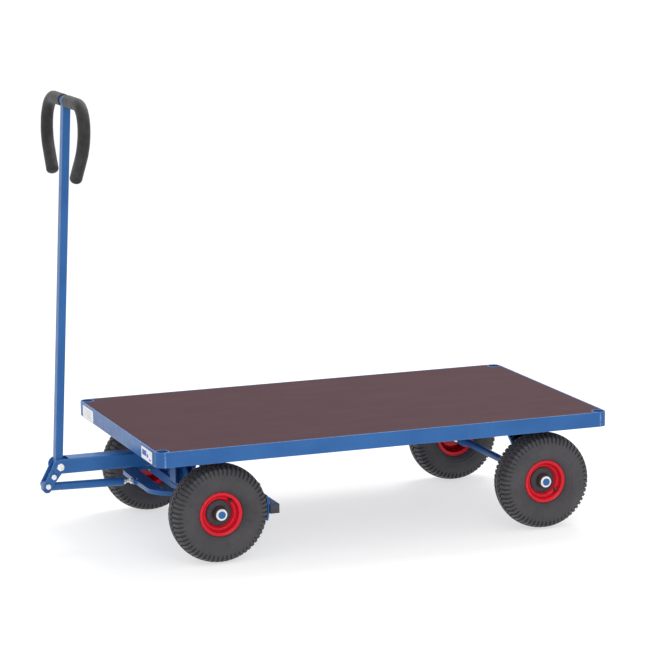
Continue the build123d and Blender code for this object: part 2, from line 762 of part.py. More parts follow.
bow_corner_x = bow_front_x + bow_sag
notch_depth = nut_height + thread_tail + notch_gap
with BuildPart() as brake_bow:
    with BuildSketch(Plane.XY.offset(bow_bottom)) as bow_outline:
        with BuildLine():
            ThreePointArc(
                (bow_corner_x, -bow_half_width), (bow_front_x, 0), (bow_corner_x, bow_half_width)
            )
            Polyline(
                (bow_corner_x, bow_half_width),
                (bow_rear_x, bow_half_width),
                (bow_rear_x, -bow_half_width),
                (bow_corner_x, -bow_half_width),
            )
        make_face()
        fillet(bow_outline.vertices().group_by(Axis.X)[0], radius=bow_outer_corner)
    extrude(amount=bow_bar_thickness)
    with BuildSketch(Plane.XY.offset(bow_bottom)) as bow_inside:
        inner_half = bow_half_width - bow_bar_width
        with BuildLine():
            ThreePointArc(
                (bow_corner_x + bow_bar_width, -inner_half),
                (bow_front_x + bow_bar_width, 0),
                (bow_corner_x + bow_bar_width, inner_half),
            )
            Polyline(
                (bow_corner_x + bow_bar_width, inner_half),
                (bow_rear_x, inner_half),
                (bow_rear_x, -inner_half),
                (bow_corner_x + bow_bar_width, -inner_half),
            )
        make_face()
        fillet(bow_inside.vertices().group_by(Axis.X)[0], radius=bow_inner_corner)
    extrude(amount=bow_bar_thickness, mode=Mode.SUBTRACT)
    with BuildSketch(Plane.YZ.offset(lug_front_x)) as lug:
        with Locations((0, bow_bottom - lug_drop + lug_height / 2)):
            Rectangle(lug_width, lug_height)
        fillet(lug.vertices().group_by(Axis.Z)[-1], radius=lug_corner)
    extrude(amount=lug_thickness + lug_seat)
    with BuildSketch(Plane.XY.offset(bow_bottom)):
        with Locations((bow_front_x + bow_hole_inset, 0)):
            with GridLocations(0, 2 * bow_hole_offset, 1, 2):
                Circle(bow_hole_diameter / 2)
        with Locations((bow_front_x + notch_depth / 2, 0)):
            Rectangle(notch_depth, small_bolt_flats + 2 * notch_gap)
    extrude(amount=lug_height, mode=Mode.SUBTRACT)
    with BuildSketch(rod_plane.offset(rod_length - lug_seat)):
        Circle(stud_radius + axle_fit)
    extrude(amount=lug_thickness + 4 * lug_seat, mode=Mode.SUBTRACT)
    with BuildSketch(Plane.XY.offset(brake_tube_top)):
        with Locations((brake_tube_x, 0)):
            with GridLocations(0, 2 * guide_y, 1, 2):
                Rectangle(brake_tube_size, bow_bar_width)
    extrude(amount=bow_bottom - brake_tube_top)
finish(brake_bow, "brake_bow")

with BuildPart() as brake_cross_tube:
    with BuildSketch(xz_plane(0)):
        with Locations((brake_tube_x, tyre_radius)):
            Rectangle(brake_tube_size, brake_tube_size)
            Rectangle(
                brake_tube_size - 2 * brake_tube_wall,
                brake_tube_size - 2 * brake_tube_wall,
                mode=Mode.SUBTRACT,
            )
    extrude(amount=brake_tube_half_length, both=True)
finish(brake_cross_tube, "brake_cross_tube")

with BuildPart() as brake_tube_caps:
    for side in (left, right):
        with BuildSketch(xz_plane(side * brake_tube_half_length)):
            with Locations((brake_tube_x, tyre_radius)):
                Rectangle(brake_tube_size, brake_tube_size)
        extrude(amount=-side * brake_cap_thickness)
        with BuildSketch(xz_plane(side * brake_tube_half_length)):
            with Locations((brake_tube_x, tyre_radius)):
                Rectangle(
                    brake_tube_size - 2 * brake_tube_wall, brake_tube_size - 2 * brake_tube_wall
                )
        extrude(amount=side * brake_cap_plug)
finish(brake_tube_caps, "brake_tube_caps")

low_angle = -math.degrees(math.asin(shoe_below / tyre_radius))
shoe_angle = math.degrees(math.asin(shoe_above / tyre_radius)) - low_angle
for side_name, side in sides.items():
    with BuildPart() as brake_shoe:
        with BuildSketch(xz_plane(side * half_track)):
            with BuildLine():
                inner_arc = CenterArc(
                    (front_axle_x, tyre_radius), shoe_inner_radius, low_angle, shoe_angle
                )
                outer_arc = CenterArc(
                    (front_axle_x, tyre_radius),
                    shoe_inner_radius + shoe_thickness,
                    low_angle,
                    shoe_angle,
                )
                Line(inner_arc @ 0, outer_arc @ 0)
                Line(inner_arc @ 1, outer_arc @ 1)
            make_face()
        extrude(amount=shoe_width / 2, both=True)
    finish(brake_shoe, "brake_shoe_" + side_name)

# ---------------------------------------------------------------- rear axle stays
for side_name, side in sides.items():
    with BuildPart() as rear_axle_stay:
        for lean_way in (-1, 1):
            with BuildSketch(xz_plane(side * stay_half_track)):
                with Locations((rear_axle_x, tyre_radius)):
                    Circle(stay_width / 2)
                with Locations((rear_axle_x + lean_way * stay_spread, member_bottom)):
                    Circle(stay_width / 2)
                make_hull()
            extrude(amount=stay_thickness / 2, both=True)
        with BuildSketch(xz_plane(side * stay_half_track)):
            with Locations((rear_axle_x, tyre_radius)):
                Circle(stay_boss_radius)
        extrude(amount=stay_thickness, both=True)
        with BuildSketch(xz_plane(side * stay_half_track)):
            with Locations((rear_axle_x, tyre_radius)):
                Circle(axle_radius)
        extrude(amount=stay_thickness, both=True, mode=Mode.SUBTRACT)
        split(bisect_by=Plane.XY.offset(member_bottom), keep=Keep.BOTTOM)
    finish(rear_axle_stay, "rear_axle_stay_" + side_name)

# ---------------------------------------------------------------- wheels
# Sections are drawn with t outboard from the wheel's centre plane and r out from the axle.
flange_radius = bead_radius + rim_flange_height
barrel_inside = bead_radius - rim_sheet
flange_inside = rim_half_width - rim_sheet
half_tyre = tyre_width / 2
shoulder_t = half_tyre - shoulder_inset
shoulder_r = tyre_radius - shoulder_drop
crown_radius = (shoulder_t**2 + shoulder_drop**2) / (2 * shoulder_drop)
crown_angle = math.degrees(math.asin(shoulder_t / crown_radius))
belly_r = tyre_radius - belly_depth
tread_inside = tyre_radius - tread_wall
foot_t = rim_half_width + bead_overhang
foot_r = flange_radius + bead_lift
tube_centre_r = (bead_radius + tread_inside) / 2
tube_half_height = (tread_inside - bead_radius) / 2 - tube_gap
tube_half_width = half_tyre - side_wall - tube_side_gap
valve_turns = {"front_left": 50.0, "rear_left": -38.0, "front_right": 130.0, "rear_right": 200.0}


def wheel_plane(x, y, side):
    """Section plane of a wheel: local x is outboard and local y is up."""
    return Plane(origin=(x, y, tyre_radius), x_dir=(0, side, 0), z_dir=(side, 0, 0))


def valve_axis_plane(x, y, side, angle):
    """The plane across the valve stem, at its inner end inside the air tube."""
    turned = math.radians(angle)
    root_r = bead_radius + valve_root_rise
    out = (math.cos(turned), 0, math.sin(turned))
    origin = (x + root_r * out[0], y + side * valve_root_t, tyre_radius + root_r * out[2])
    return Plane(origin=origin, z_dir=(-out[0], side, -out[2]))


for end_name, axle_x in (("front", front_axle_x), ("rear", rear_axle_x)):
    for side_name, side in sides.items():
        wheel = end_name + "_" + side_name
        wheel_y = side * half_track
        section = wheel_plane(axle_x, wheel_y, side)
        spin_axis = Axis((axle_x, wheel_y, tyre_radius), (0, 1, 0))
        valve_plane = valve_axis_plane(axle_x, wheel_y, side, valve_turns[wheel])

        with BuildPart() as tyre:
            with BuildSketch(section):
                with BuildLine():
                    CenterArc((0, tyre_radius - crown_radius), crown_radius, 90, -crown_angle)
                    ThreePointArc(
                        (shoulder_t, shoulder_r),
                        (half_tyre, belly_r),
                        (foot_t, foot_r),
                    )
                    Polyline(
                        (foot_t, foot_r),
                        (flange_inside - bead_gap, flange_radius + bead_gap),
                        (flange_inside - bead_gap, bead_radius + bead_gap),
                        (flange_inside - bead_wall, bead_radius + bead_gap),
                        (flange_inside - bead_wall, flange_radius + bead_gap),
                    )
                    ThreePointArc(
                        (flange_inside - bead_wall, flange_radius + bead_gap),
                        (half_tyre - side_wall, belly_r),
                        (shoulder_t - side_wall, tread_inside - shoulder_inside_drop),
                    )
                    Polyline(
                        (shoulder_t - side_wall, tread_inside - shoulder_inside_drop),
                        (0, tread_inside),
                        (0, tyre_radius),
                    )
                make_face()
                mirror(about=Plane.YZ)
            revolve(axis=spin_axis)
        finish(tyre, "tyre_" + wheel)

        with BuildPart() as rim:
            with BuildSketch(section):
                with BuildLine():
                    Polyline(
                        (-rim_half_width, barrel_inside),
                        (-rim_half_width, flange_radius),
                        (-flange_inside, flange_radius),
                        (-flange_inside, bead_radius),
                        (flange_inside, bead_radius),
                        (flange_inside, flange_radius),
                        (rim_half_width, flange_radius),
                        (rim_half_width, bead_radius),
                        (hub_disc_face + disc_cone_reach, barrel_inside),
                        (hub_disc_face, hub_disc_radius + disc_lip),
                        (hub_disc_face - hub_disc_thickness, hub_disc_radius),
                        (hub_disc_face - hub_disc_thickness, hub_radius),
                        (hub_disc_face - hub_disc_thickness - rim_sheet, hub_radius),
                        (hub_disc_face - hub_disc_thickness - rim_sheet, hub_disc_radius + disc_lip / 3),
                        (hub_disc_face - rim_sheet, hub_disc_radius + 1.5 * disc_lip),
                        (hub_disc_face + disc_cone_inside, barrel_inside),
                        close=True,
                    )
                make_face()
            revolve(axis=spin_axis)
            with BuildSketch(valve_plane):
                Circle(valve_diameter / 2 + valve_clearance)
            extrude(amount=valve_length, mode=Mode.SUBTRACT)
        finish(rim, "rim_" + wheel)

        with BuildPart() as hub:
            with BuildSketch(section):
                with BuildLine():
                    Polyline(
                        (-hub_inboard, axle_radius + axle_fit),
                        (-hub_inboard, hub_radius),
                        (hub_disc_face - hub_disc_thickness, hub_radius),
                        (hub_disc_face - hub_disc_thickness, hub_disc_radius),
                        (hub_disc_face, hub_disc_radius),
                        (hub_disc_face, hub_radius),
                        (hub_outboard, hub_radius - hub_draft),
                        (hub_outboard, axle_radius + axle_fit),
                        close=True,
                    )
                make_face()
            revolve(axis=spin_axis)
        finish(hub, "hub_" + wheel)

        # The air tube, with its valve stem through the rim.
        with BuildPart() as inner_tube:
            with BuildSketch(section):
                with Locations((0, tube_centre_r)):
                    Ellipse(tube_half_width, tube_half_height)
                    Ellipse(
                        tube_half_width - tube_wall, tube_half_height - tube_wall, mode=Mode.SUBTRACT
                    )
            revolve(axis=spin_axis)
            with BuildSketch(valve_plane):
                Circle(valve_diameter / 2)
            extrude(amount=valve_length)
        finish(inner_tube, "inner_tube_" + wheel)
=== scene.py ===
import json
import math

import bmesh
import bpy
from mathutils import Matrix, Vector, noise


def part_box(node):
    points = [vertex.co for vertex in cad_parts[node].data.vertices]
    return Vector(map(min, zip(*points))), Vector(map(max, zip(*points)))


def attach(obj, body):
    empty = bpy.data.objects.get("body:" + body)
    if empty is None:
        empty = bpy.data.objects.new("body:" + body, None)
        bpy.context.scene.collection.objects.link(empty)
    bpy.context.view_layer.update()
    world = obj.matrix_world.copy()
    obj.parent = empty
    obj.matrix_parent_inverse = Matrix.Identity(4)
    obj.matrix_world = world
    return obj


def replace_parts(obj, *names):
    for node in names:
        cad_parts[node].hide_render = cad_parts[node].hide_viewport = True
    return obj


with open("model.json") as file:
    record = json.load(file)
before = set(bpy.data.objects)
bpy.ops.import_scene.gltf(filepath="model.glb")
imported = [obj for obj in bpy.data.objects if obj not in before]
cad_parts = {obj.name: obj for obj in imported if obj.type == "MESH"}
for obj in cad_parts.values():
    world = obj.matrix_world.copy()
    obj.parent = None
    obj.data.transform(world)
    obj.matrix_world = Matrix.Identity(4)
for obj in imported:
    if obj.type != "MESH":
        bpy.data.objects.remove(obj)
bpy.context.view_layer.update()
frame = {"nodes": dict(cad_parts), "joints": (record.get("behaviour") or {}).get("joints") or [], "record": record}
nodes = frame["nodes"]
record = frame["record"]
joints = {joint["name"]: joint for joint in frame["joints"]}

# Metres throughout, in the CAD frame: the drawbar at -X, the trolley's left side at -Y, +Z up.

# --- Camera ---
CAMERA_AT = Vector((-2.5706, -7.0423, 1.9048))
CAMERA_YAW = math.radians(20.515)
CAMERA_PITCH = math.radians(10.3025)
CAMERA_ROLL = math.radians(-0.683)
CAMERA_LENS = 156.965

# --- Sizes of the visible pieces, beyond what the frame's boxes give ---
DRAWBAR_LEAN = math.radians(2.93)
HANDLE_HEIGHT = 0.957
HANDLE_HALF_WIDTH = 0.178
HANDLE_CORNER = 0.068
HANDLE_SIDE = 0.110
HANDLE_TURN = math.radians(38)
HANDLE_STRAIGHT = 0.076
GRIP_RADIUS = 0.01675
GRIP_START = 0.0153
LEVER_HALF_GRIP = 0.020
LINK_OFFSET = Vector((-0.033, 0, -0.051))
CLAMP_DISTANCE = 0.0315
CLAMP_ANGLE = math.radians(32.9)
PIVOT_BOLT = (0.006, 0.018, 0.0075)
SMALL_BOLT = (0.004, 0.013, 0.0053)
AXLE_RADIUS = 0.010
KINGPIN_RADIUS, KINGPIN_FLATS, KINGPIN_PITCH = 0.0099, 0.030, 0.0020
ROD_OFFSET = Vector((-0.033, 0, -0.05587))
ROD_TUBE_END = 0.210
NUT_HEIGHT = 0.0065
TOP_NUT_BELOW_END = 0.0085
LUG_THICKNESS = 0.006
LUG_HALF_HEIGHT = 0.009
LABEL_LOW, LABEL_HIGH = 0.275, 0.3065
LABEL_FACES = (-0.0002, 0.0002)
PRINT_FACES = (-0.00028, -0.0001)
LABEL_CORNER, PRINT_CORNER = 0.003, 0.0006
MEMBER_PLACES = (-0.430, -0.270, -0.047, 0.253, 0.497, 0.631)
VALVE_TURNS = {"front_left": 50, "rear_left": -38, "front_right": 130, "rear_right": 200}
VALVE_ROOT = Vector((0.0150, 0, 0.0455))

# --- Fasteners and welds ---
BOLT_GAP = 0.0003
THREAD_SHOWN = 0.0018
THREAD_SUNK = 0.0004
THREAD_DEPTH = 0.55
THREAD_TIP, THREAD_CHAMFER = 0.0006, 0.0009
CHAMFER_SHARE = 0.98
CHAMFER_ANGLE = math.radians(30)
WASHER_EDGE = 0.0004
WASHER_THICKNESS, WASHER_RADIUS = 0.0030, 0.0150
ROUND_STEPS, SHANK_STEPS = 48, 24
WELD_RADIUS, THIN_WELD_RADIUS = 0.0022, 0.0018
WELD_SPACING = 0.0011
WELD_ANGLE = 60
MEMBER_HALF_WIDTH = 0.020
MEMBER_WELD = 0.018
RAIL_FLANGE = 0.030
STAY_LEG = 0.0155
BOW_BAR_WIDTH = 0.040

# Sockets of the colour mix node, which also has hidden ones for numbers and vectors.
MIX_COLOUR_INPUTS = (6, 7)
MIX_COLOUR_OUTPUT = 2

LEFT, RIGHT = -1, 1
SIDES = {"left": LEFT, "right": RIGHT}
WHEELS = [(end, side) for end in ("front", "rear") for side in SIDES]


# ------------------------------------------------------------------ shader helpers
def srgb(red, green, blue):
    """A colour given as it looks on a screen, 0 to 255, in the shader's linear values."""
    linear = [((value / 255 + 0.055) / 1.055) ** 2.4 for value in (red, green, blue)]
    return (*linear, 1.0)


def put(tree, kind, links=None, **settings):
    """A new node with its properties and input values set, and its inputs linked."""
    made = tree.nodes.new(kind)
    for key, value in settings.items():
        if hasattr(made, key):
            setattr(made, key, value)
        else:
            made.inputs[key.replace("_", " ")].default_value = value
    for key, source in (links or {}).items():
        tree.links.new(source, made.inputs[key])
    return made


class Look:
    """A Principled material whose colour, roughness and bump are built up in layers."""

    def __init__(self, name, **values):
        self.material = bpy.data.materials.new(name)
        self.material.use_nodes = True
        self.tree = self.material.node_tree
        self.shader = self.tree.nodes["Principled BSDF"]
        for key, value in values.items():
            self.shader.inputs[key.replace("_", " ")].default_value = value
        self.place = put(self.tree, "ShaderNodeTexCoord").outputs["Object"]
        self.normal = None

    def stretched(self, scale):
        """The place on the object, scaled unevenly, for grain and brushing."""
        mapping = put(self.tree, "ShaderNodeMapping", {"Vector": self.place})
        mapping.inputs["Scale"].default_value = scale
        return mapping.outputs["Vector"]

    def noise(self, scale, detail=3.0, roughness=0.5, place=None):
        """Cloudy noise, on the object's place or on a stretched one."""
        made = put(
            self.tree,
            "ShaderNodeTexNoise",
            {"Vector": place or self.place},
            Scale=scale,
            Detail=detail,
            Roughness=roughness,
        )
        return made.outputs["Fac"]

    def cells(self, scale):
        """Distance to the nearest of many scattered points."""
        made = put(self.tree, "ShaderNodeTexVoronoi", {"Vector": self.place}, Scale=scale)
        return made.outputs["Distance"]

    def bands(self, scale, direction):
        """Even waves across one direction."""
        links = {"Vector": self.place}
        made = put(self.tree, "ShaderNodeTexWave", links, bands_direction=direction, Scale=scale)
        return made.outputs["Fac"]

    def ramp(self, source, stops):
        """Colours along a value, each stop a (place, colour) pair."""
        made = put(self.tree, "ShaderNodeValToRGB", {"Fac": source})
        elements = made.color_ramp.elements
        while len(elements) < len(stops):
            elements.new(0.5)
        for element, (place, colour) in zip(elements, stops):
            element.position = place
            element.color = colour
        return made.outputs["Color"]

    def levels(self, source, low, high, start=0.3, end=0.7):
        """The source's start to end range spread over low to high."""
        made = put(
            self.tree,
            "ShaderNodeMapRange",
            {"Value": source},
            From_Min=start,
            From_Max=end,
            To_Min=low,
            To_Max=high,
        )
        return made.outputs["Result"]

    def mix(self, amount, first, second):
        """The first colour, going over to the second by amount."""
        made = put(self.tree, "ShaderNodeMix", data_type="RGBA")
        self.tree.links.new(amount, made.inputs["Factor"])
        for index, source in zip(MIX_COLOUR_INPUTS, (first, second)):
            if isinstance(source, tuple):
                made.inputs[index].default_value = source
            else:
                self.tree.links.new(source, made.inputs[index])
        return made.outputs[MIX_COLOUR_OUTPUT]

    def joined(self, operation, first, second):
        """Two values joined by a maths operation."""
        made = put(self.tree, "ShaderNodeMath", operation=operation)
        self.tree.links.new(first, made.inputs[0])
        self.tree.links.new(second, made.inputs[1])
        return made.outputs["Value"]

    def edges(self, width):
        """About 1 where the surface turns sharply within width, and 0 on flat stretches."""
        soft = put(self.tree, "ShaderNodeBevel", samples=4, Radius=width).outputs["Normal"]
        plain = put(self.tree, "ShaderNodeNewGeometry").outputs["Normal"]
        dot = put(self.tree, "ShaderNodeVectorMath", operation="DOT_PRODUCT")
        self.tree.links.new(soft, dot.inputs[0])
        self.tree.links.new(plain, dot.inputs[1])
        return self.levels(dot.outputs["Value"], 1.0, 0.0, 0.85, 0.99)

    def colour(self, source):
        """Drives the base colour."""
        self.tree.links.new(source, self.shader.inputs["Base Color"])
        return self

    def rough(self, source):
        """Drives the roughness."""
        self.tree.links.new(source, self.shader.inputs["Roughness"])
        return self

    def bump(self, height, distance, strength):
        """Adds a layer of relief over those already there."""
        links = {"Height": height}
        made = put(self.tree, "ShaderNodeBump", links, Strength=strength, Distance=distance)
        if self.normal is not None:
            self.tree.links.new(self.normal, made.inputs["Normal"])
        self.normal = made.outputs["Normal"]
        self.tree.links.new(self.normal, self.shader.inputs["Normal"])
        return self


# ------------------------------------------------------------------ materials
def gloss_paint(name, deep, main, worn_and_edge_highlight, roughness):
    """Stoved gloss paint: orange peel, slight drift of tone, and a painted highlight on sharp edges whose lighter
    colour also stands for a little wear.
    """
    look = Look(name, Coat_Weight=0.06, Coat_Roughness=0.16, Specular_IOR_Level=0.26)
    drift = look.ramp(look.noise(9.0, 4.0), [(0.35, deep), (0.65, main)])
    # Painted highlight: sharp edges go over to a lighter colour in noisy patches. The same colour also stands for
    # slight wear.
    highlight_and_wear_patches = look.levels(look.noise(140.0, 6.0, 0.7), 0.15, 1.0, 0.42, 0.66)
    edge_wear_and_highlight = look.joined("MULTIPLY", look.edges(0.0018), highlight_and_wear_patches)
    look.colour(look.mix(edge_wear_and_highlight, drift, worn_and_edge_highlight))
    look.rough(look.levels(look.noise(45.0, 5.0, 0.6), roughness - 0.05, roughness + 0.08))
    look.bump(look.noise(420.0, 2.0), 0.00022, 0.25)
    look.bump(look.noise(60.0, 2.0), 0.0006, 0.12)
    return look.material


def film_faced_ply():
    """Phenolic film on plywood: a fine wire-mesh print, mottling, a few pale rubs."""
    look = Look("film_faced_ply", Specular_IOR_Level=0.08)
    grain = look.noise(22.0, 6.0, 0.65, look.stretched((0.25, 1.0, 1.0)))
    tone = look.ramp(
        grain, [(0.3, srgb(72, 48, 53)), (0.5, srgb(79, 56, 61)), (0.72, srgb(86, 64, 68))]
    )
    speckle = look.levels(look.noise(700.0, 3.0, 0.7), 0.0, 0.55, 0.45, 0.75)
    flecked = look.mix(speckle, tone, srgb(58, 38, 43))
    smears = look.noise(5.0, 8.0, 0.75, look.stretched((0.35, 2.2, 1.0)))
    rubs = look.levels(smears, 0.0, 0.35, 0.62, 0.80)
    look.colour(look.mix(rubs, flecked, srgb(104, 84, 86)))
    mesh = look.joined("MAXIMUM", look.bands(55.0, "X"), look.bands(55.0, "Y"))
    look.rough(look.levels(grain, 0.66, 0.80))
    look.bump(mesh, 0.00012, 0.35)
    look.bump(look.noise(35.0, 4.0, 0.6), 0.0008, 0.12)
    return look.material


def zinc_plate():
    """Bright zinc: metallic, faint brushing and cloudy passivation."""
    look = Look("zinc_plate", Metallic=0.9)
    cloud = look.noise(120.0, 5.0, 0.6)
    look.colour(look.ramp(cloud, [(0.35, srgb(222, 222, 222)), (0.65, srgb(246, 246, 244))]))
    look.rough(look.levels(look.noise(500.0, 3.0), 0.28, 0.45))
    look.bump(look.noise(900.0, 2.0), 0.0001, 0.3)
    return look.material


def ball_steel():
    """Polished bearing steel with a film of grease."""
    look = Look("ball_steel", Metallic=1.0)
    stops = [(0.4, srgb(170, 165, 155)), (0.6, srgb(214, 214, 216))]
    look.colour(look.ramp(look.noise(150.0, 3.0), stops))
    look.rough(look.levels(look.noise(300.0, 3.0), 0.12, 0.30))
    return look.material


def foam():
    """Closed-cell foam: fine pores, matt with a soft sheen."""
    look = Look("grip_foam", Sheen_Weight=0.12, Sheen_Roughness=0.45, Specular_IOR_Level=0.25)
    pores = look.cells(1500.0)
    stops = [(0.35, srgb(38, 36, 38)), (0.65, srgb(52, 50, 52))]
    look.colour(look.ramp(look.noise(60.0, 4.0), stops))
    look.rough(look.levels(look.noise(30.0, 3.0), 0.50, 0.66))
    look.bump(pores, 0.0004, 0.5)
    look.bump(look.noise(90.0, 3.0), 0.0008, 0.25)
    return look.material


def moulded_plastic():
    """Black moulded polypropylene with a spark-eroded grain."""
    look = Look("moulded_plastic", Specular_IOR_Level=0.45)
    stops = [(0.35, srgb(50, 48, 54)), (0.65, srgb(62, 60, 66))]
    look.colour(look.ramp(look.noise(80.0, 4.0), stops))
    look.rough(look.levels(look.noise(200.0, 3.0), 0.45, 0.60))
    look.bump(look.noise(1500.0, 3.0), 0.00025, 0.5)
    return look.material


def tyre_rubber():
    """Moulded rubber: dull black-grey, bloom in patches, fine mould texture."""
    look = Look("tyre_rubber", Specular_IOR_Level=0.4, Sheen_Weight=0.12, Sheen_Roughness=0.5)
    bloom = look.noise(16.0, 5.0, 0.6)
    look.colour(look.ramp(bloom, [(0.3, srgb(52, 50, 54)), (0.7, srgb(66, 64, 68))]))
    look.rough(look.levels(look.noise(70.0, 4.0), 0.50, 0.68))
    look.bump(look.noise(900.0, 3.0), 0.0003, 0.4)
    look.bump(look.noise(120.0, 3.0), 0.0005, 0.2)
    return look.material


def valve_rubber():
    """Smooth black rubber of the valve stem."""
    look = Look("valve_rubber", Specular_IOR_Level=0.5)
    stops = [(0.4, srgb(24, 24, 26)), (0.6, srgb(38, 38, 40))]
    look.colour(look.ramp(look.noise(200.0, 3.0), stops))
    look.rough(look.levels(look.noise(300.0, 3.0), 0.38, 0.5))
    look.bump(look.noise(1200.0, 2.0), 0.0002, 0.3)
    return look.material


def printed_film(name, colour, drift):
    """Printed vinyl film: nearly even colour, faint mottling, soft gloss."""
    look = Look(name, Specular_IOR_Level=0.4)
    look.colour(look.ramp(look.noise(160.0, 4.0), [(0.35, colour), (0.65, drift)]))
    look.rough(look.levels(look.noise(90.0, 3.0), 0.35, 0.5))
    look.bump(look.noise(500.0, 2.0), 0.0001, 0.2)
    return look.material


LOOKS = {
    "label_white": printed_film("label_white", srgb(228, 228, 230), srgb(240, 240, 240)),
    "label_near": printed_film("label_near", srgb(70, 92, 168), srgb(84, 104, 178)),
    "label_far": printed_film("label_far", srgb(150, 152, 158), srgb(172, 174, 178)),
    # The third colour of each paint is its painted edge highlight, which also stands for slight edge wear.
    "blue_paint": gloss_paint(
        "blue_paint", srgb(34, 89, 150), srgb(41, 98, 160), srgb(138, 160, 205), 0.34
    ),
    "red_paint": gloss_paint(
        "red_paint", srgb(196, 14, 34), srgb(216, 20, 42), srgb(214, 98, 104), 0.22
    ),
    "deck_ply": film_faced_ply(),
    "zinc": zinc_plate(),
    "ball_steel": ball_steel(),
    "grip_foam": foam(),
    "black_plastic": moulded_plastic(),
    "tyre_rubber": tyre_rubber(),
    "valve_rubber": valve_rubber(),
}


# ------------------------------------------------------------------ mesh helpers
def make_piece(name, points, faces, slot, body, smooth_angle=35.0):
    """A mesh object in the CAD frame that rides on a body and takes a slot's look."""
    mesh = bpy.data.meshes.new(name)
    mesh.from_pydata([tuple(point) for point in points], [], faces)
    return mesh_piece(name, mesh, slot, body, smooth_angle)


def mesh_piece(name, mesh, slot, body, smooth_angle=35.0):
    """The object of a finished mesh, with its normals, the look of its slot, and its body."""
    tidy = bmesh.new()
    tidy.from_mesh(mesh)
    bmesh.ops.recalc_face_normals(tidy, faces=tidy.faces)
    tidy.to_mesh(mesh)
    tidy.free()
    mesh.polygons.foreach_set("use_smooth", [True] * len(mesh.polygons))
    mesh.set_sharp_from_angle(angle=math.radians(smooth_angle))
    mesh.materials.append(LOOKS[slot])
    piece = bpy.data.objects.new(name, mesh)
    bpy.context.scene.collection.objects.link(piece)
    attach(piece, body)
    return piece


def ring_faces(rings, across, closed_rings=True):
    """Quads between neighbouring rings of points that are stored one ring after another."""
    faces = []
    for ring in range(rings if closed_rings else rings - 1):
        following = (ring + 1) % rings
        for step in range(across):
            beside = (step + 1) % across
            faces.append(
                (
                    ring * across + step,
                    ring * across + beside,
                    following * across + beside,
                    following * across + step,
                )
            )
    return faces


def tube_faces(rings, across):
    """The faces of a row of rings, closed by a cap at each end."""
    faces = ring_faces(rings, across, closed_rings=False)
    faces.append(tuple(range(across)))
    faces.append(tuple((rings - 1) * across + step for step in range(across)))
    return faces


def lathe(name, profile, centre, side, slot, body, steps=96, smooth_angle=35.0):
    """A closed profile of (outboard, radius) points turned about the wheel's axle."""
    points = []
    for step in range(steps):
        angle = 2 * math.pi * step / steps
        for outboard, radius in profile:
            offset = (radius * math.cos(angle), side * outboard, radius * math.sin(angle))
            points.append(centre + Vector(offset))
    faces = ring_faces(steps, len(profile))
    return make_piece(name, points, faces, slot, body, smooth_angle)


def arc(centre, radius, start, end, count):
    """Points of a circular arc in a plane, angles in degrees."""
    angles = [math.radians(start + (end - start) * step / (count - 1)) for step in range(count)]
    return [(centre[0] + radius * math.cos(a), centre[1] + radius * math.sin(a)) for a in angles]


def three_point_arc(first, middle, last, count):
    """Points of the arc through three points of a plane."""
    ax, ay = first
    bx, by = middle
    cx, cy = last
    cross = 2 * (ax * (by - cy) + bx * (cy - ay) + cx * (ay - by))
    a2, b2, c2 = ax * ax + ay * ay, bx * bx + by * by, cx * cx + cy * cy
    ox = (a2 * (by - cy) + b2 * (cy - ay) + c2 * (ay - by)) / cross
    oy = (a2 * (cx - bx) + b2 * (ax - cx) + c2 * (bx - ax)) / cross
    start = math.atan2(ay - oy, ax - ox)
    turn = (math.atan2(cy - oy, cx - ox) - start + math.pi) % (2 * math.pi) - math.pi
    radius = math.hypot(ax - ox, ay - oy)
    return arc((ox, oy), radius, math.degrees(start), math.degrees(start + turn), count)


def frame_about(axis):
    """The axis as a unit vector, and two unit vectors square to it and to each other."""
    axis = Vector(axis).normalized()
    beside = axis.orthogonal().normalized()
    return axis, beside, axis.cross(beside)


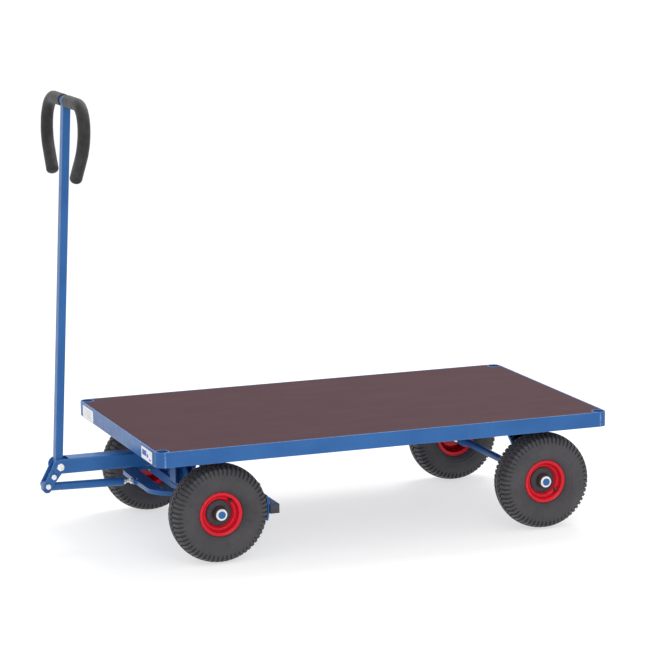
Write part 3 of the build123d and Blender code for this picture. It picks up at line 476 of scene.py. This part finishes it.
class Solids:
    """Collects several closed solids in one mesh, such as the bolts of one joint."""

    def __init__(self):
        self.points = []
        self.faces = []

    def add(self, points, faces):
        """Takes in one closed solid."""
        start = len(self.points)
        self.points += [Vector(point) for point in points]
        self.faces += [tuple(start + index for index in face) for face in faces]

    def turned(self, place, axis, profile, steps):
        """A profile of (along, radius) points turned about axis, closed at both ends."""
        axis, beside, above = frame_about(axis)
        points = []
        for along, radius in profile:
            for step in range(steps):
                angle = 2 * math.pi * step / steps
                across = beside * math.cos(angle) + above * math.sin(angle)
                points.append(place + axis * along + across * radius)
        self.add(points, tube_faces(len(profile), steps))

    def hexagon(self, place, axis, flats, height, both_ends=False):
        """A hexagon head or nut whose corners are turned down to the chamfer circle."""
        axis, beside, above = frame_about(axis)
        half = flats / 2
        rows = [("low", 0.86), ("low", 1.0), ("high", 1.0), ("high", 0.93)]
        points = []
        for level, share in rows:
            for step in range(ROUND_STEPS):
                angle = 2 * math.pi * step / ROUND_STEPS
                reach = half / math.cos((angle + math.pi / 6) % (math.pi / 3) - math.pi / 6)
                corner = (reach - half * CHAMFER_SHARE) * math.tan(CHAMFER_ANGLE)
                if share < 1:
                    reach = min(reach, half) * share
                    corner = 0.0
                along = height - corner if level == "high" else (corner if both_ends else 0.0)
                across = beside * math.cos(angle) + above * math.sin(angle)
                points.append(place + axis * along + across * reach)
        self.add(points, tube_faces(len(rows), ROUND_STEPS))

    def thread(self, place, axis, radius, length, pitch=0.00125):
        """A threaded end: V-shaped turns with a chamfered tip."""
        profile = [(0.0, radius)]
        turns = max(2, round(length / pitch))
        for turn in range(turns):
            profile.append(((turn + 0.5) * length / turns, radius - pitch * THREAD_DEPTH))
            profile.append(((turn + 1) * length / turns, radius))
        profile.append((length + THREAD_TIP, radius - THREAD_CHAMFER))
        self.turned(place, axis, profile, SHANK_STEPS)

    def washer(self, place, axis, inner, outer, thickness):
        """A flat washer with broken edges."""
        axis, beside, above = frame_about(axis)
        edge = min(WASHER_EDGE, thickness / 4)
        profile = [
            (0.0, inner),
            (0.0, outer - edge),
            (edge, outer),
            (thickness - edge, outer),
            (thickness, outer - edge),
            (thickness, inner),
        ]
        points = []
        for step in range(ROUND_STEPS):
            angle = 2 * math.pi * step / ROUND_STEPS
            across = beside * math.cos(angle) + above * math.sin(angle)
            points += [place + axis * along + across * radius for along, radius in profile]
        self.add(points, ring_faces(ROUND_STEPS, len(profile)))

    def piece(self, name, slot, body, smooth_angle=30.0):
        """All the solids so far as one piece."""
        return make_piece(name, self.points, self.faces, slot, body, smooth_angle)


def middle(node):
    """The middle of a node's box."""
    low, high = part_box(node)
    return (low + high) / 2


# ------------------------------------------------------------------ CAD nodes that stay
def soften_edges(node, width, segments=2):
    """Real rounded edges on a CAD node, by modifiers."""
    piece = nodes[node]
    weld = piece.modifiers.new("weld", "WELD")
    weld.merge_threshold = 0.00002
    flat = piece.modifiers.new("flat", "DECIMATE")
    flat.decimate_type = "DISSOLVE"
    flat.angle_limit = math.radians(1.0)
    bevel = piece.modifiers.new("bevel", "BEVEL")
    bevel.width = width
    bevel.segments = segments
    bevel.limit_method = "ANGLE"
    bevel.angle_limit = math.radians(40)
    bevel.use_clamp_overlap = True
    normals = piece.modifiers.new("normals", "WEIGHTED_NORMAL")
    normals.keep_sharp = False


for part in record["subparts"]:
    for place in nodes[part["node"]].material_slots:
        place.material = LOOKS[part["material_slot"]]

EDGE_WIDTHS = {
    "side_rail_left": 0.0012,
    "side_rail_right": 0.0012,
    "end_rail_front": 0.0016,
    "end_rail_rear": 0.0016,
    "corner_socket_front_left": 0.0008,
    "corner_socket_front_right": 0.0008,
    "corner_socket_rear_left": 0.0008,
    "corner_socket_rear_right": 0.0008,
    "cross_members": 0.0010,
    "turntable_top_plate": 0.0010,
    "turntable_disc": 0.0010,
    "pedestal": 0.0010,
    "axle_gussets": 0.0010,
    "axle_beam": 0.0015,
    "tow_beam": 0.0008,
    "lever_plate_left": 0.0008,
    "lever_plate_right": 0.0008,
    "drawbar_tube": 0.0005,
    "brake_guides": 0.0008,
    "brake_rod_eye": 0.0008,
    "brake_bow": 0.0012,
    "brake_cross_tube": 0.0015,
    "brake_tube_caps": 0.0008,
    "brake_shoe_left": 0.0010,
    "brake_shoe_right": 0.0010,
    "rear_axle_stay_left": 0.0010,
    "rear_axle_stay_right": 0.0010,
    "deck_board": 0.0006,
}
for node, width in EDGE_WIDTHS.items():
    soften_edges(node, width)


# ------------------------------------------------------------------ tyres
LUGS = 60
STEPS_PER_LUG = 12
SLIT_SHARE = 0.38
SLIT_DEPTH = 0.0045
GROOVE_DEPTH = 0.0036
CENTRE_RIB = 0.0045
CENTRE_GROOVE = 0.0070
BLOCK_ROW = 0.0130
BLOCK_GROOVE = 0.0155
SHOULDER_ROW = 0.0560
SHOULDER_FADE = 0.0100


def tyre_section(radius, half_width):
    """The tyre's outer line from the crown to the bead, as (across, radius) points."""
    shoulder = (half_width - 0.0065, radius - 0.009)
    crown = three_point_arc((0, radius), (shoulder[0] / 2, radius - 0.0022), shoulder, 40)
    wall = three_point_arc(shoulder, (half_width - 0.0002, radius - 0.038), (0.0305, 0.0615), 30)
    return crown + wall[1:]


def tread_depth(along, phase):
    """How far the tread is cut back at a distance along the section from the crown's middle."""
    if along < CENTRE_RIB:
        return 0.0
    if along < CENTRE_GROOVE:
        return GROOVE_DEPTH
    if along < BLOCK_ROW:
        return SLIT_DEPTH if (phase + 0.5) % 1.0 > 1 - SLIT_SHARE else 0.0
    if along < BLOCK_GROOVE:
        return GROOVE_DEPTH
    fade = min(1.0, max(0.0, (SHOULDER_ROW - along) / SHOULDER_FADE))
    return SLIT_DEPTH * fade if phase % 1.0 > 1 - SLIT_SHARE else 0.0


def wall_rib(radius):
    """Raised rings moulded on the sidewall, by radius."""
    ribs = ((0.0690, 0.0011, 0.0007), (0.0765, 0.0016, 0.0009), (0.1040, 0.0009, 0.0004))
    return sum(
        height * math.exp(-(((radius - place) / width) ** 2)) for place, width, height in ribs
    )


def tyre_mesh(radius, half_width):
    """A whole tyre about its own centre: tread, sidewalls, beads and a hollow inside."""
    section = tyre_section(radius, half_width)
    lengths = [0.0]
    for first, second in zip(section, section[1:]):
        lengths.append(lengths[-1] + math.dist(first, second))
    normals = []
    for index in range(len(section)):
        before = section[max(index - 1, 0)]
        after = section[min(index + 1, len(section) - 1)]
        along = (after[0] - before[0], after[1] - before[1])
        size = math.hypot(*along)
        normals.append((-along[1] / size, along[0] / size))
    normals[0] = (0.0, 1.0)
    inside = [
        (0.0248, 0.0582),
        (0.0248, 0.0512),
        (0.0180, 0.0512),
        (0.0180, 0.0582),
        (half_width - 0.0095, radius - 0.040),
        (0.0280, radius - 0.0165),
        (0.0, radius - 0.0125),
    ]
    steps = LUGS * STEPS_PER_LUG
    points = []
    for step in range(steps):
        angle = 2 * math.pi * step / steps
        phase = step / STEPS_PER_LUG
        halves = []
        for side, shift in ((LEFT, 0.0), (RIGHT, 0.5)):
            outer = []
            for (width, height), length, (nx, ny) in zip(section, lengths, normals):
                rib = wall_rib(height) if length > SHOULDER_ROW else 0.0
                push = rib - tread_depth(length, phase + shift)
                outer.append((side * (width + nx * push), height + ny * push))
            halves.append((outer, [(side * width, height) for width, height in inside]))
        (left_outer, left_inner), (right_outer, right_inner) = halves
        ring = left_inner[::-1] + left_outer[::-1] + right_outer[1:] + right_inner[:-1]
        for width, height in ring:
            points.append((height * math.cos(angle), width, height * math.sin(angle)))
    return points, ring_faces(steps, len(ring))


tyre_low, tyre_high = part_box("tyre_front_left")
TYRE_RADIUS = (tyre_high.z - tyre_low.z) / 2
TYRE_HALF_WIDTH = (tyre_high.y - tyre_low.y) / 2 - 0.0001
tyre_points, tyre_faces = tyre_mesh(TYRE_RADIUS, TYRE_HALF_WIDTH)
for end, side_name in WHEELS:
    wheel = end + "_" + side_name
    centre = middle("tyre_" + wheel)
    moved = [centre + Vector(point) for point in tyre_points]
    tyre = make_piece("tyre_tread_" + wheel, moved, tyre_faces, "tyre_rubber", "wheel_" + wheel, 32)
    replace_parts(tyre, "tyre_" + wheel)


# ------------------------------------------------------------------ rims, hubs and valves
def rim_section():
    """The pressed rim as a closed line of (outboard, radius) points: rolled lips, bead seats and
    a dished disc."""
    lip = arc((0.0264, 0.0563), 0.0016, 90, -60, 8)
    outer_face = [(0.0262, 0.0535), (0.0259, 0.0515)]
    barrel = arc((0.0234, 0.0512), 0.0024, 0, -70, 5)[1:] + [(0.0215, 0.0484)]
    dish = [(0.0185, 0.0474), (0.0152, 0.0452), (0.0132, 0.0428)]
    ridge = arc((0.0118, 0.0405), 0.0018, 60, -50, 6)
    seat = [(0.0108, 0.0388), (0.0098, 0.0374), (0.0090, 0.0362), (0.0050, 0.0344)]
    back = [
        (0.0050, 0.0182),
        (0.0020, 0.0182),
        (0.0020, 0.0350),
        (0.0062, 0.0376),
        (0.0088, 0.0400),
        (0.0110, 0.0440),
        (0.0150, 0.0474),
        (0.0160, 0.0478),
    ]
    inboard = [(-0.0232, 0.0478), (-0.0256, 0.0484), (-0.0264, 0.0505), (-0.0264, 0.0540)]
    inboard_lip = arc((-0.0264, 0.0563), 0.0016, 250, 90, 8)
    bead_seats = [
        (-0.0252, 0.0556),
        (-0.0250, 0.0525),
        (-0.0240, 0.0508),
        (0.0240, 0.0508),
        (0.0250, 0.0525),
        (0.0252, 0.0556),
    ]
    front = lip + outer_face + barrel + dish + ridge + seat
    return front + back + inboard + inboard_lip + bead_seats


def hub_section():
    """The moulded hub: bore, flange with a raised edge, tapered barrel."""
    bore = AXLE_RADIUS + 0.00005
    return [
        (-0.0360, bore + 0.0005),
        (-0.0360, 0.0172),
        (-0.0352, 0.0180),
        (0.0000, 0.0180),
        (0.0000, 0.0200),
        (0.0016, 0.0210),
        (0.0048, 0.0212),
        (0.0048, 0.0334),
        (0.0058, 0.0340),
        (0.0086, 0.0340),
        (0.0094, 0.0332),
        (0.0094, 0.0320),
        (0.0082, 0.0312),
        (0.0080, 0.0215),
        (0.0096, 0.0194),
        (0.0130, 0.0182),
        (0.0290, 0.0174),
        (0.0300, 0.0164),
        (0.0300, 0.0136),
        (0.0292, 0.0130),
        (0.0292, bore),
        (-0.0355, bore),
    ]


def valve(wheel, centre, side):
    """A rubber valve stem through the rim, with its foot and a ribbed cap."""
    turned = math.radians(VALVE_TURNS[wheel])
    out = Vector((math.cos(turned), 0, math.sin(turned)))
    axis = (Vector((0, side, 0)) * 1.6 - out).normalized()
    root = centre + out * VALVE_ROOT.z + Vector((0, side * VALVE_ROOT.x, 0))
    stem = Solids()
    stem.turned(
        root,
        axis,
        [
            (-0.0060, 0.0040),
            (-0.0010, 0.0062),
            (0.0008, 0.0060),
            (0.0018, 0.0046),
            (0.0034, 0.0038),
            (0.0038, 0.0030),
            (0.0044, 0.0030),
        ],
        28,
    )
    stem.turned(
        root + axis * 0.0045,
        axis,
        [
            (0.0, 0.0042),
            (0.0004, 0.0046),
            (0.0018, 0.0046),
            (0.0021, 0.0043),
            (0.0025, 0.0043),
            (0.0028, 0.0046),
            (0.0050, 0.0044),
            (0.0057, 0.0037),
        ],
        28,
    )
    piece = stem.piece("valve_stem_" + wheel, "valve_rubber", "wheel_" + wheel)
    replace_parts(piece, "inner_tube_" + wheel)


for end, side_name in WHEELS:
    wheel = end + "_" + side_name
    side = SIDES[side_name]
    body = "wheel_" + wheel
    centre = middle("tyre_" + wheel)
    rim = lathe("pressed_rim_" + wheel, rim_section(), centre, side, "red_paint", body, 128, 50)
    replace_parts(rim, "rim_" + wheel)
    hub = lathe("moulded_hub_" + wheel, hub_section(), centre, side, "black_plastic", body, 96, 40)
    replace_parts(hub, "hub_" + wheel)
    valve(wheel, centre, side)


# ------------------------------------------------------------------ axle ends
def axle_retainers(end, body):
    """Washer and circlip outside each hub, and the collar inside it."""
    node = end + "_axle_retainers"
    low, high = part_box(node)
    centre = middle(end + "_axle")
    rings = Solids()
    for side in (LEFT, RIGHT):
        outer = high.y if side == RIGHT else low.y
        circlip = Vector((centre.x, outer - side * 0.0015, centre.z))
        rings.washer(circlip, (0, side, 0), AXLE_RADIUS, 0.0125, 0.0014)
        flat = Vector((centre.x, outer - side * 0.00456, centre.z))
        rings.washer(flat, (0, side, 0), AXLE_RADIUS, WASHER_RADIUS, WASHER_THICKNESS)
        wheel_y = middle("tyre_" + end + ("_right" if side == RIGHT else "_left")).y
        collar = Vector((centre.x, wheel_y - side * 0.0363, centre.z))
        rings.washer(collar, (0, -side, 0), AXLE_RADIUS, WASHER_RADIUS, WASHER_THICKNESS)
    piece = rings.piece(end + "_axle_rings", "zinc", body)
    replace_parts(piece, node)


axle_retainers("front", "steering")
axle_retainers("rear", "platform")


# ------------------------------------------------------------------ bolts
def bolt_through(solids, place, size, half_grip):
    """A hexagon bolt along Y, its head at -Y and its nut at +Y."""
    radius, flats, head = size
    solids.hexagon(place + Vector((0, -half_grip, 0)), (0, -1, 0), flats, head)
    solids.hexagon(place + Vector((0, half_grip, 0)), (0, 1, 0), flats, head, True)
    shank = [(-half_grip, radius), (half_grip, radius)]
    solids.turned(place, (0, 1, 0), shank, SHANK_STEPS)
    tip = place + Vector((0, half_grip + head - THREAD_SUNK, 0))
    solids.thread(tip, (0, 1, 0), radius, THREAD_SHOWN)


pivot = Vector(joints["drawbar_tilt"]["pos_m"])
beam_low, beam_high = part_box("tow_beam")
main_bolt = Solids()
bolt_through(main_bolt, pivot, PIVOT_BOLT, (beam_high.y - beam_low.y) / 2)
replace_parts(main_bolt.piece("pivot_bolt_and_nut", "zinc", "steering"), "pivot_bolt")

link = pivot + LINK_OFFSET
clamp = pivot - CLAMP_DISTANCE * Vector((math.sin(CLAMP_ANGLE), 0, math.cos(CLAMP_ANGLE)))
small_bolts = Solids()
for place in (link, clamp):
    bolt_through(small_bolts, place, SMALL_BOLT, LEVER_HALF_GRIP)
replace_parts(small_bolts.piece("lever_bolts_and_nuts", "zinc", "drawbar"), "lever_bolts")


def turntable_fasteners():
    """The four bolts under the top plate with their nuts inside the cross members."""
    low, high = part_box("turntable_bolts")
    radius, flats, _ = SMALL_BOLT
    corners = flats / math.cos(math.pi / 6)
    half = Vector(((high.x - low.x - corners) / 2, (high.y - low.y - flats) / 2, 0))
    centre = (low + high) / 2
    plate_low, plate_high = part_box("turntable_top_plate")
    solids = Solids()
    for along in (-1, 1):
        for side in (LEFT, RIGHT):
            place = Vector((centre.x + along * half.x, side * half.y, plate_low.z))
            solids.hexagon(place, (0, 0, -1), flats, plate_low.z - low.z)
            shank = [(0.0, radius), (plate_high.z - plate_low.z, radius)]
            solids.turned(place, (0, 0, 1), shank, SHANK_STEPS)
            nut = Vector((place.x, place.y, high.z - TOP_NUT_BELOW_END))
            solids.hexagon(nut, (0, 0, 1), flats, NUT_HEIGHT, True)
            tip = nut + Vector((0, 0, NUT_HEIGHT - THREAD_SUNK))
            solids.thread(tip, (0, 0, 1), radius, THREAD_SHOWN)
    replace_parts(solids.piece("turntable_bolts_and_nuts", "zinc", "platform"), "turntable_bolts")


turntable_fasteners()


def stud_and_nuts():
    """The threaded stud of the brake rod with its lock nut and the two nuts at the bow's lug."""
    bow_low, bow_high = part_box("brake_bow")
    start = pivot + ROD_OFFSET
    end = Vector((bow_low.x, 0, bow_high.z - LUG_HALF_HEIGHT))
    axis = (end - start).normalized()
    length = (end - start).length
    radius, flats, _ = SMALL_BOLT
    stud_start = ROD_TUBE_END - 0.024
    stud_length = length + LUG_THICKNESS + NUT_HEIGHT + 0.0014 - stud_start
    solids = Solids()
    solids.thread(start + axis * stud_start, axis, radius, stud_length)
    before_lug = length - NUT_HEIGHT - BOLT_GAP
    behind_lug = length + LUG_THICKNESS + BOLT_GAP
    for along in (ROD_TUBE_END, before_lug, behind_lug):
        solids.hexagon(start + axis * along, axis, flats, NUT_HEIGHT, True)
    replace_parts(solids.piece("stud_and_nuts", "zinc", "brake"), "brake_rod_stud")


stud_and_nuts()


def kingpin_and_nut():
    """The kingpin with its washer and nut over the top plate."""
    low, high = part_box("kingpin")
    plate_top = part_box("turntable_top_plate")[1].z
    centre = Vector((middle("kingpin").x, 0, 0))
    solids = Solids()
    up = Vector((0, 0, 1))
    shank = [(0.0, KINGPIN_RADIUS), (plate_top - low.z, KINGPIN_RADIUS)]
    solids.turned(centre + up * low.z, up, shank, 40)
    solids.washer(centre + up * (plate_top + BOLT_GAP), up, 0.0101, 0.0200, 0.0029)
    solids.hexagon(centre + up * (plate_top + 0.0033), up, KINGPIN_FLATS, 0.012, True)
    thread_start = centre + up * (plate_top + 0.0149)
    thread_length = high.z - plate_top - 0.0155
    solids.thread(thread_start, up, KINGPIN_RADIUS, thread_length, KINGPIN_PITCH)
    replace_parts(solids.piece("kingpin_and_nut", "zinc", "steering"), "kingpin")


kingpin_and_nut()


# ------------------------------------------------------------------ welds
def weld(solids, path, radius=WELD_RADIUS):
    """A fillet weld: a rippled bead along a path, sunk to its middle in the joint."""
    around = 10
    spaced = [Vector(path[0])]
    for first, second in zip(path, path[1:]):
        first, second = Vector(first), Vector(second)
        count = max(2, round((second - first).length / WELD_SPACING))
        spaced += [first.lerp(second, step / count) for step in range(1, count + 1)]
    points = []
    for index, place in enumerate(spaced):
        following = spaced[min(index + 1, len(spaced) - 1)]
        _, beside, above = frame_about(following - spaced[max(index - 1, 0)])
        ripple = 1.0 + 0.13 * math.sin(index * 1.9) + 0.10 * noise.noise(place * 160)
        if index in (0, len(spaced) - 1):
            ripple *= 0.45
        for step in range(around):
            angle = 2 * math.pi * step / around
            across = beside * math.cos(angle) + above * math.sin(angle)
            points.append(place + across * radius * ripple)
    solids.add(points, tube_faces(len(spaced), around))


def steering_welds():
    """Round the tow beam's end, at the pedestal and its gussets, and at the brake guides."""
    solids = Solids()
    beam_low, beam_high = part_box("tow_beam")
    end_x = beam_high.x
    inset = 0.003
    for z in (beam_low.z, beam_high.z):
        weld(solids, [(end_x, beam_low.y + inset, z), (end_x, beam_high.y - inset, z)])
    for y in (beam_low.y, beam_high.y):
        weld(solids, [(end_x, y, beam_low.z + inset), (end_x, y, beam_high.z - inset)])
    gusset_low, gusset_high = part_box("axle_gussets")
    post_low, post_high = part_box("pedestal")
    for side in (LEFT, RIGHT):
        inner, post, outer = side * 0.0045, side * post_high.y, side * gusset_high.y
        for x in (gusset_low.x, gusset_high.x):
            weld(solids, [(x, post, gusset_low.z), (x, outer, gusset_low.z)])
            weld(solids, [(x, inner, gusset_low.z + 0.002), (x, inner, gusset_high.z)])
        for x in (post_low.x, post_high.x):
            weld(solids, [(x, 0, post_high.z), (x, post, post_high.z)])
            weld(solids, [(x, 0, post_low.z), (x, post, post_low.z)])
    guide_low, guide_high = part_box("brake_guides")
    beam_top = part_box("axle_beam")[1].z
    for side in (LEFT, RIGHT):
        outer = side * guide_high.y
        weld(solids, [(guide_low.x, outer, beam_top), (guide_high.x, outer, beam_top)])
    solids.piece("steering_welds", "blue_paint", "steering", WELD_ANGLE)


def platform_welds():
    """Along the tops of the stays, round the rear axle, and at the cross members' ends."""
    solids = Solids()
    centre = middle("rear_axle")
    for side_name in SIDES:
        low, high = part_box("rear_axle_stay_" + side_name)
        centre_y = (low.y + high.y) / 2
        z = high.z - 0.0008
        for x in (low.x + 0.0005, low.x + STAY_LEG, high.x - STAY_LEG, high.x - 0.0005):
            weld(solids, [(x, centre_y - 0.0055, z), (x, centre_y + 0.0055, z)])
        for y in (low.y, high.y):
            round_axle = arc((centre.x, centre.z), AXLE_RADIUS + 0.0008, 0, 360, 25)
            weld(solids, [(x, y, z) for x, z in round_axle], THIN_WELD_RADIUS)
    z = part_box("cross_members")[0].z
    flange_y = abs(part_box("side_rail_left")[0].y + RAIL_FLANGE)
    for place in MEMBER_PLACES:
        for x in (place - MEMBER_HALF_WIDTH, place + MEMBER_HALF_WIDTH):
            for side in (LEFT, RIGHT):
                weld(solids, [(x, side * flange_y, z), (x, side * (flange_y + MEMBER_WELD), z)])
    solids.piece("platform_welds", "blue_paint", "platform", WELD_ANGLE)


def brake_welds():
    """Where the shoes and the bow meet the cross tube, and at the bow's lug."""
    solids = Solids()
    tube_low, tube_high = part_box("brake_cross_tube")
    for side_name in SIDES:
        low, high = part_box("brake_shoe_" + side_name)
        for z in (tube_low.z + 0.001, tube_high.z - 0.001):
            weld(solids, [(tube_low.x, low.y + 0.001, z), (tube_low.x, high.y - 0.001, z)])
    bow_low, bow_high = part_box("brake_bow")
    for side in (LEFT, RIGHT):
        inner, outer = side * (bow_high.y - BOW_BAR_WIDTH), side * bow_high.y
        z = tube_high.z + 0.001
        for x in (tube_low.x + 0.0005, tube_high.x - 0.0005):
            weld(solids, [(x, inner, z), (x, outer, z)])
    lug_x = bow_low.x + LUG_THICKNESS
    lug_z = bow_high.z - 2 * LUG_HALF_HEIGHT + 0.0125
    for first, last in ((-0.012, -0.009), (0.009, 0.012)):
        weld(solids, [(lug_x, first, lug_z), (lug_x, last, lug_z)])
    solids.piece("brake_welds", "blue_paint", "brake", WELD_ANGLE)


steering_welds()
platform_welds()
brake_welds()


# ------------------------------------------------------------------ labels
def label_plate(solids, centre, half, corner, faces):
    """A thin plate on the front rail with rounded corners, between two depths off its face."""
    face_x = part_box("end_rail_front")[0].x
    outline = []
    for start, across, up in ((0, 1, 1), (90, -1, 1), (180, -1, -1), (270, 1, -1)):
        place = (centre[0] + across * (half[0] - corner), centre[1] + up * (half[1] - corner))
        outline += arc(place, corner, start, start + 90, 5)
    points = [Vector((face_x + depth, y, z)) for depth in faces for y, z in outline]
    solids.add(points, tube_faces(2, len(outline)))


def label(name, first, last, bars):
    """A plain white sticker on the front rail with generic printed bars, which are given as their
    middle and half size in shares of the sticker's half size."""
    middle_y, middle_z = (first + last) / 2, (LABEL_LOW + LABEL_HIGH) / 2
    half_y, half_z = abs(last - first) / 2, (LABEL_HIGH - LABEL_LOW) / 2
    sticker = Solids()
    label_plate(sticker, (middle_y, middle_z), (half_y, half_z), LABEL_CORNER, LABEL_FACES)
    sticker.piece("front_label_" + name, "label_white", "platform")
    printed = Solids()
    for across, up, half_width, half_height in bars:
        centre = (middle_y + across * half_y, middle_z + up * half_z)
        half = (half_width * half_y, half_height * half_z)
        label_plate(printed, centre, half, PRINT_CORNER, PRINT_FACES)
    printed.piece("front_label_print_" + name, "label_" + name, "platform")


MARK_BARS = ((0.45, 0.12, 0.38, 0.46), (-0.15, -0.1, 0.12, 0.30), (-0.62, -0.55, 0.18, 0.12))
TYPE_ROWS = [
    (0.05 - 0.04 * (row % 2), 0.62 - 0.31 * row, 0.80 - 0.10 * (row % 3), 0.045)
    for row in range(5)
]
label("near", -0.318, -0.225, MARK_BARS)
label("far", 0.222, 0.322, TYPE_ROWS)


# ------------------------------------------------------------------ foam grips
HANDLE_UP = Vector((math.sin(DRAWBAR_LEAN), 0, math.cos(DRAWBAR_LEAN)))
HANDLE_BACK = Vector((math.cos(DRAWBAR_LEAN), 0, -math.sin(DRAWBAR_LEAN)))
GRIP_SPACING = 0.0022
GRIP_AROUND = 56
GRIP_SKIN = 0.0003
TIP_ROUND, ROOT_ROUND = 0.010, 0.003
WAVE_HEIGHT, WAVE_SCALE, WAVE_TURN = 0.00028, 55, 1.4
SEAM_DEPTH, SEAM_WIDTH = 0.0003, 0.03


def handle_point(across, up):
    """A point of the handle's own plane, in the CAD frame."""
    return pivot + HANDLE_UP * up + Vector((0, across, 0))


def grip_line():
    """The grip's centre line for the right side, as evenly spaced (across, up) points."""
    corner = (HANDLE_HALF_WIDTH - HANDLE_CORNER, HANDLE_HEIGHT - HANDLE_CORNER)
    side_centre = (HANDLE_HALF_WIDTH - HANDLE_SIDE, corner[1])
    line = [(GRIP_START, HANDLE_HEIGHT)]
    line += arc(corner, HANDLE_CORNER, 90, 0, 24)
    line += arc(side_centre, HANDLE_SIDE, 0, -math.degrees(HANDLE_TURN), 14)[1:]
    start = line[-1]
    straight = (-math.sin(HANDLE_TURN) * HANDLE_STRAIGHT, -math.cos(HANDLE_TURN) * HANDLE_STRAIGHT)
    line.append((start[0] + straight[0], start[1] + straight[1]))
    spaced = [line[0]]
    left_over = 0.0
    for first, second in zip(line, line[1:]):
        length = math.dist(first, second)
        along = GRIP_SPACING - left_over
        while along <= length:
            share = along / length
            spaced.append(tuple(a + (b - a) * share for a, b in zip(first, second)))
            along += GRIP_SPACING
        left_over = length - (along - GRIP_SPACING)
    return spaced + [line[-1]]


def foam_grip(side_name, side):
    """Foam sleeve on the handle: rounded ends, soft waves and a faint mould seam."""
    line = grip_line()
    total = sum(math.dist(a, b) for a, b in zip(line, line[1:]))
    points = []
    walked = 0.0
    for index, (across, up) in enumerate(line):
        if index:
            walked += math.dist(line[index - 1], line[index])
        before = line[max(index - 1, 0)]
        after = line[min(index + 1, len(line) - 1)]
        ahead = (after[0] - before[0], after[1] - before[1])
        size = math.hypot(*ahead)
        outward = (ahead[1] / size, -ahead[0] / size)
        radius = GRIP_RADIUS - GRIP_SKIN
        to_tip = total - walked
        if to_tip < TIP_ROUND:
            radius -= TIP_ROUND - math.sqrt(max(0.0, TIP_ROUND**2 - (TIP_ROUND - to_tip) ** 2))
        if walked < ROOT_ROUND:
            radius -= 0.5 * (ROOT_ROUND - math.sqrt(ROOT_ROUND**2 - (ROOT_ROUND - walked) ** 2))
        for step in range(GRIP_AROUND):
            angle = 2 * math.pi * step / GRIP_AROUND
            turn = (math.cos(angle), math.sin(angle))
            spot = Vector((walked * WAVE_SCALE, turn[0] * WAVE_TURN, turn[1] * WAVE_TURN))
            wave = WAVE_HEIGHT * noise.noise(spot)
            seam = SEAM_DEPTH * math.exp(-((math.sin(angle / 2 - math.pi / 2) / SEAM_WIDTH) ** 2))
            reach = radius + wave - seam
            offset = (outward[0] * turn[0] * reach, outward[1] * turn[0] * reach)
            point = handle_point(side * (across + offset[0]), up + offset[1])
            points.append(point + HANDLE_BACK * turn[1] * reach)
    faces = tube_faces(len(line), GRIP_AROUND)
    grip = make_piece("foam_grip_" + side_name, points, faces, "grip_foam", "drawbar", 60)
    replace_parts(grip, "handle_grip_" + side_name)


for side_name, side in SIDES.items():
    foam_grip(side_name, side)


# ------------------------------------------------------------------ floor, light and camera
def stage():
    """A white paper floor far wider than the view."""
    floor_mesh = bpy.data.meshes.new("floor")
    reach = 60.0
    corners = [(-reach, -reach, 0), (reach, -reach, 0), (reach, reach, 0), (-reach, reach, 0)]
    floor_mesh.from_pydata(corners, [], [(0, 1, 2, 3)])
    floor = bpy.data.objects.new("floor", floor_mesh)
    bpy.context.scene.collection.objects.link(floor)
    paper = bpy.data.materials.new("floor_paper")
    paper.use_nodes = True
    shader = paper.node_tree.nodes["Principled BSDF"]
    shader.inputs["Base Color"].default_value = (0.42, 0.42, 0.42, 1.0)
    shader.inputs["Emission Color"].default_value = (1.0, 1.0, 1.0, 1.0)
    shader.inputs["Emission Strength"].default_value = 0.62
    shader.inputs["Roughness"].default_value = 0.9
    shader.inputs["Specular IOR Level"].default_value = 0.1
    floor_mesh.materials.append(paper)


def area_light(name, place, target, size, power):
    """A round soft light at a place, turned towards a target."""
    data = bpy.data.lights.new(name, "AREA")
    data.shape = "DISK"
    data.size = size
    data.energy = power
    light = bpy.data.objects.new(name, data)
    light.location = place
    light.rotation_mode = "QUATERNION"
    light.rotation_quaternion = (Vector(target) - Vector(place)).to_track_quat("-Z", "Y")
    bpy.context.scene.collection.objects.link(light)


def light_scene():
    """A white world, a key light from behind on the right and a fill from the front."""
    world = bpy.data.worlds.new("studio")
    world.use_nodes = True
    background = world.node_tree.nodes["Background"]
    background.inputs["Color"].default_value = (1.0, 1.0, 1.0, 1.0)
    background.inputs["Strength"].default_value = 0.95
    bpy.context.scene.world = world
    area_light("key", (1.9, 1.9, 4.4), (0.0, 0.0, 0.3), 2.4, 110)
    area_light("front", (-0.6, -4.6, 3.4), (0.1, 0.0, 0.3), 2.6, 45)
    bpy.context.scene.view_settings.view_transform = "Standard"


def make_camera():
    """The photo's camera, as fitted to the platform's corners and the wheels."""
    yaw, pitch, roll = CAMERA_YAW, CAMERA_PITCH, CAMERA_ROLL
    ahead = Vector(
        (math.sin(yaw) * math.cos(pitch), math.cos(yaw) * math.cos(pitch), -math.sin(pitch))
    )
    level = Vector((math.cos(yaw), -math.sin(yaw), 0))
    up = level.cross(ahead)
    right = level * math.cos(roll) + up * math.sin(roll)
    top = up * math.cos(roll) - level * math.sin(roll)
    camera_data = bpy.data.cameras.new("camera")
    camera_data.lens = CAMERA_LENS
    camera_data.sensor_width = 36.0
    camera = bpy.data.objects.new("camera", camera_data)
    turn = Matrix((right, top, -ahead)).transposed()
    camera.matrix_world = Matrix.Translation(CAMERA_AT) @ turn.to_4x4()
    bpy.context.scene.collection.objects.link(camera)
    bpy.context.scene.camera = camera


stage()
light_scene()
make_camera()
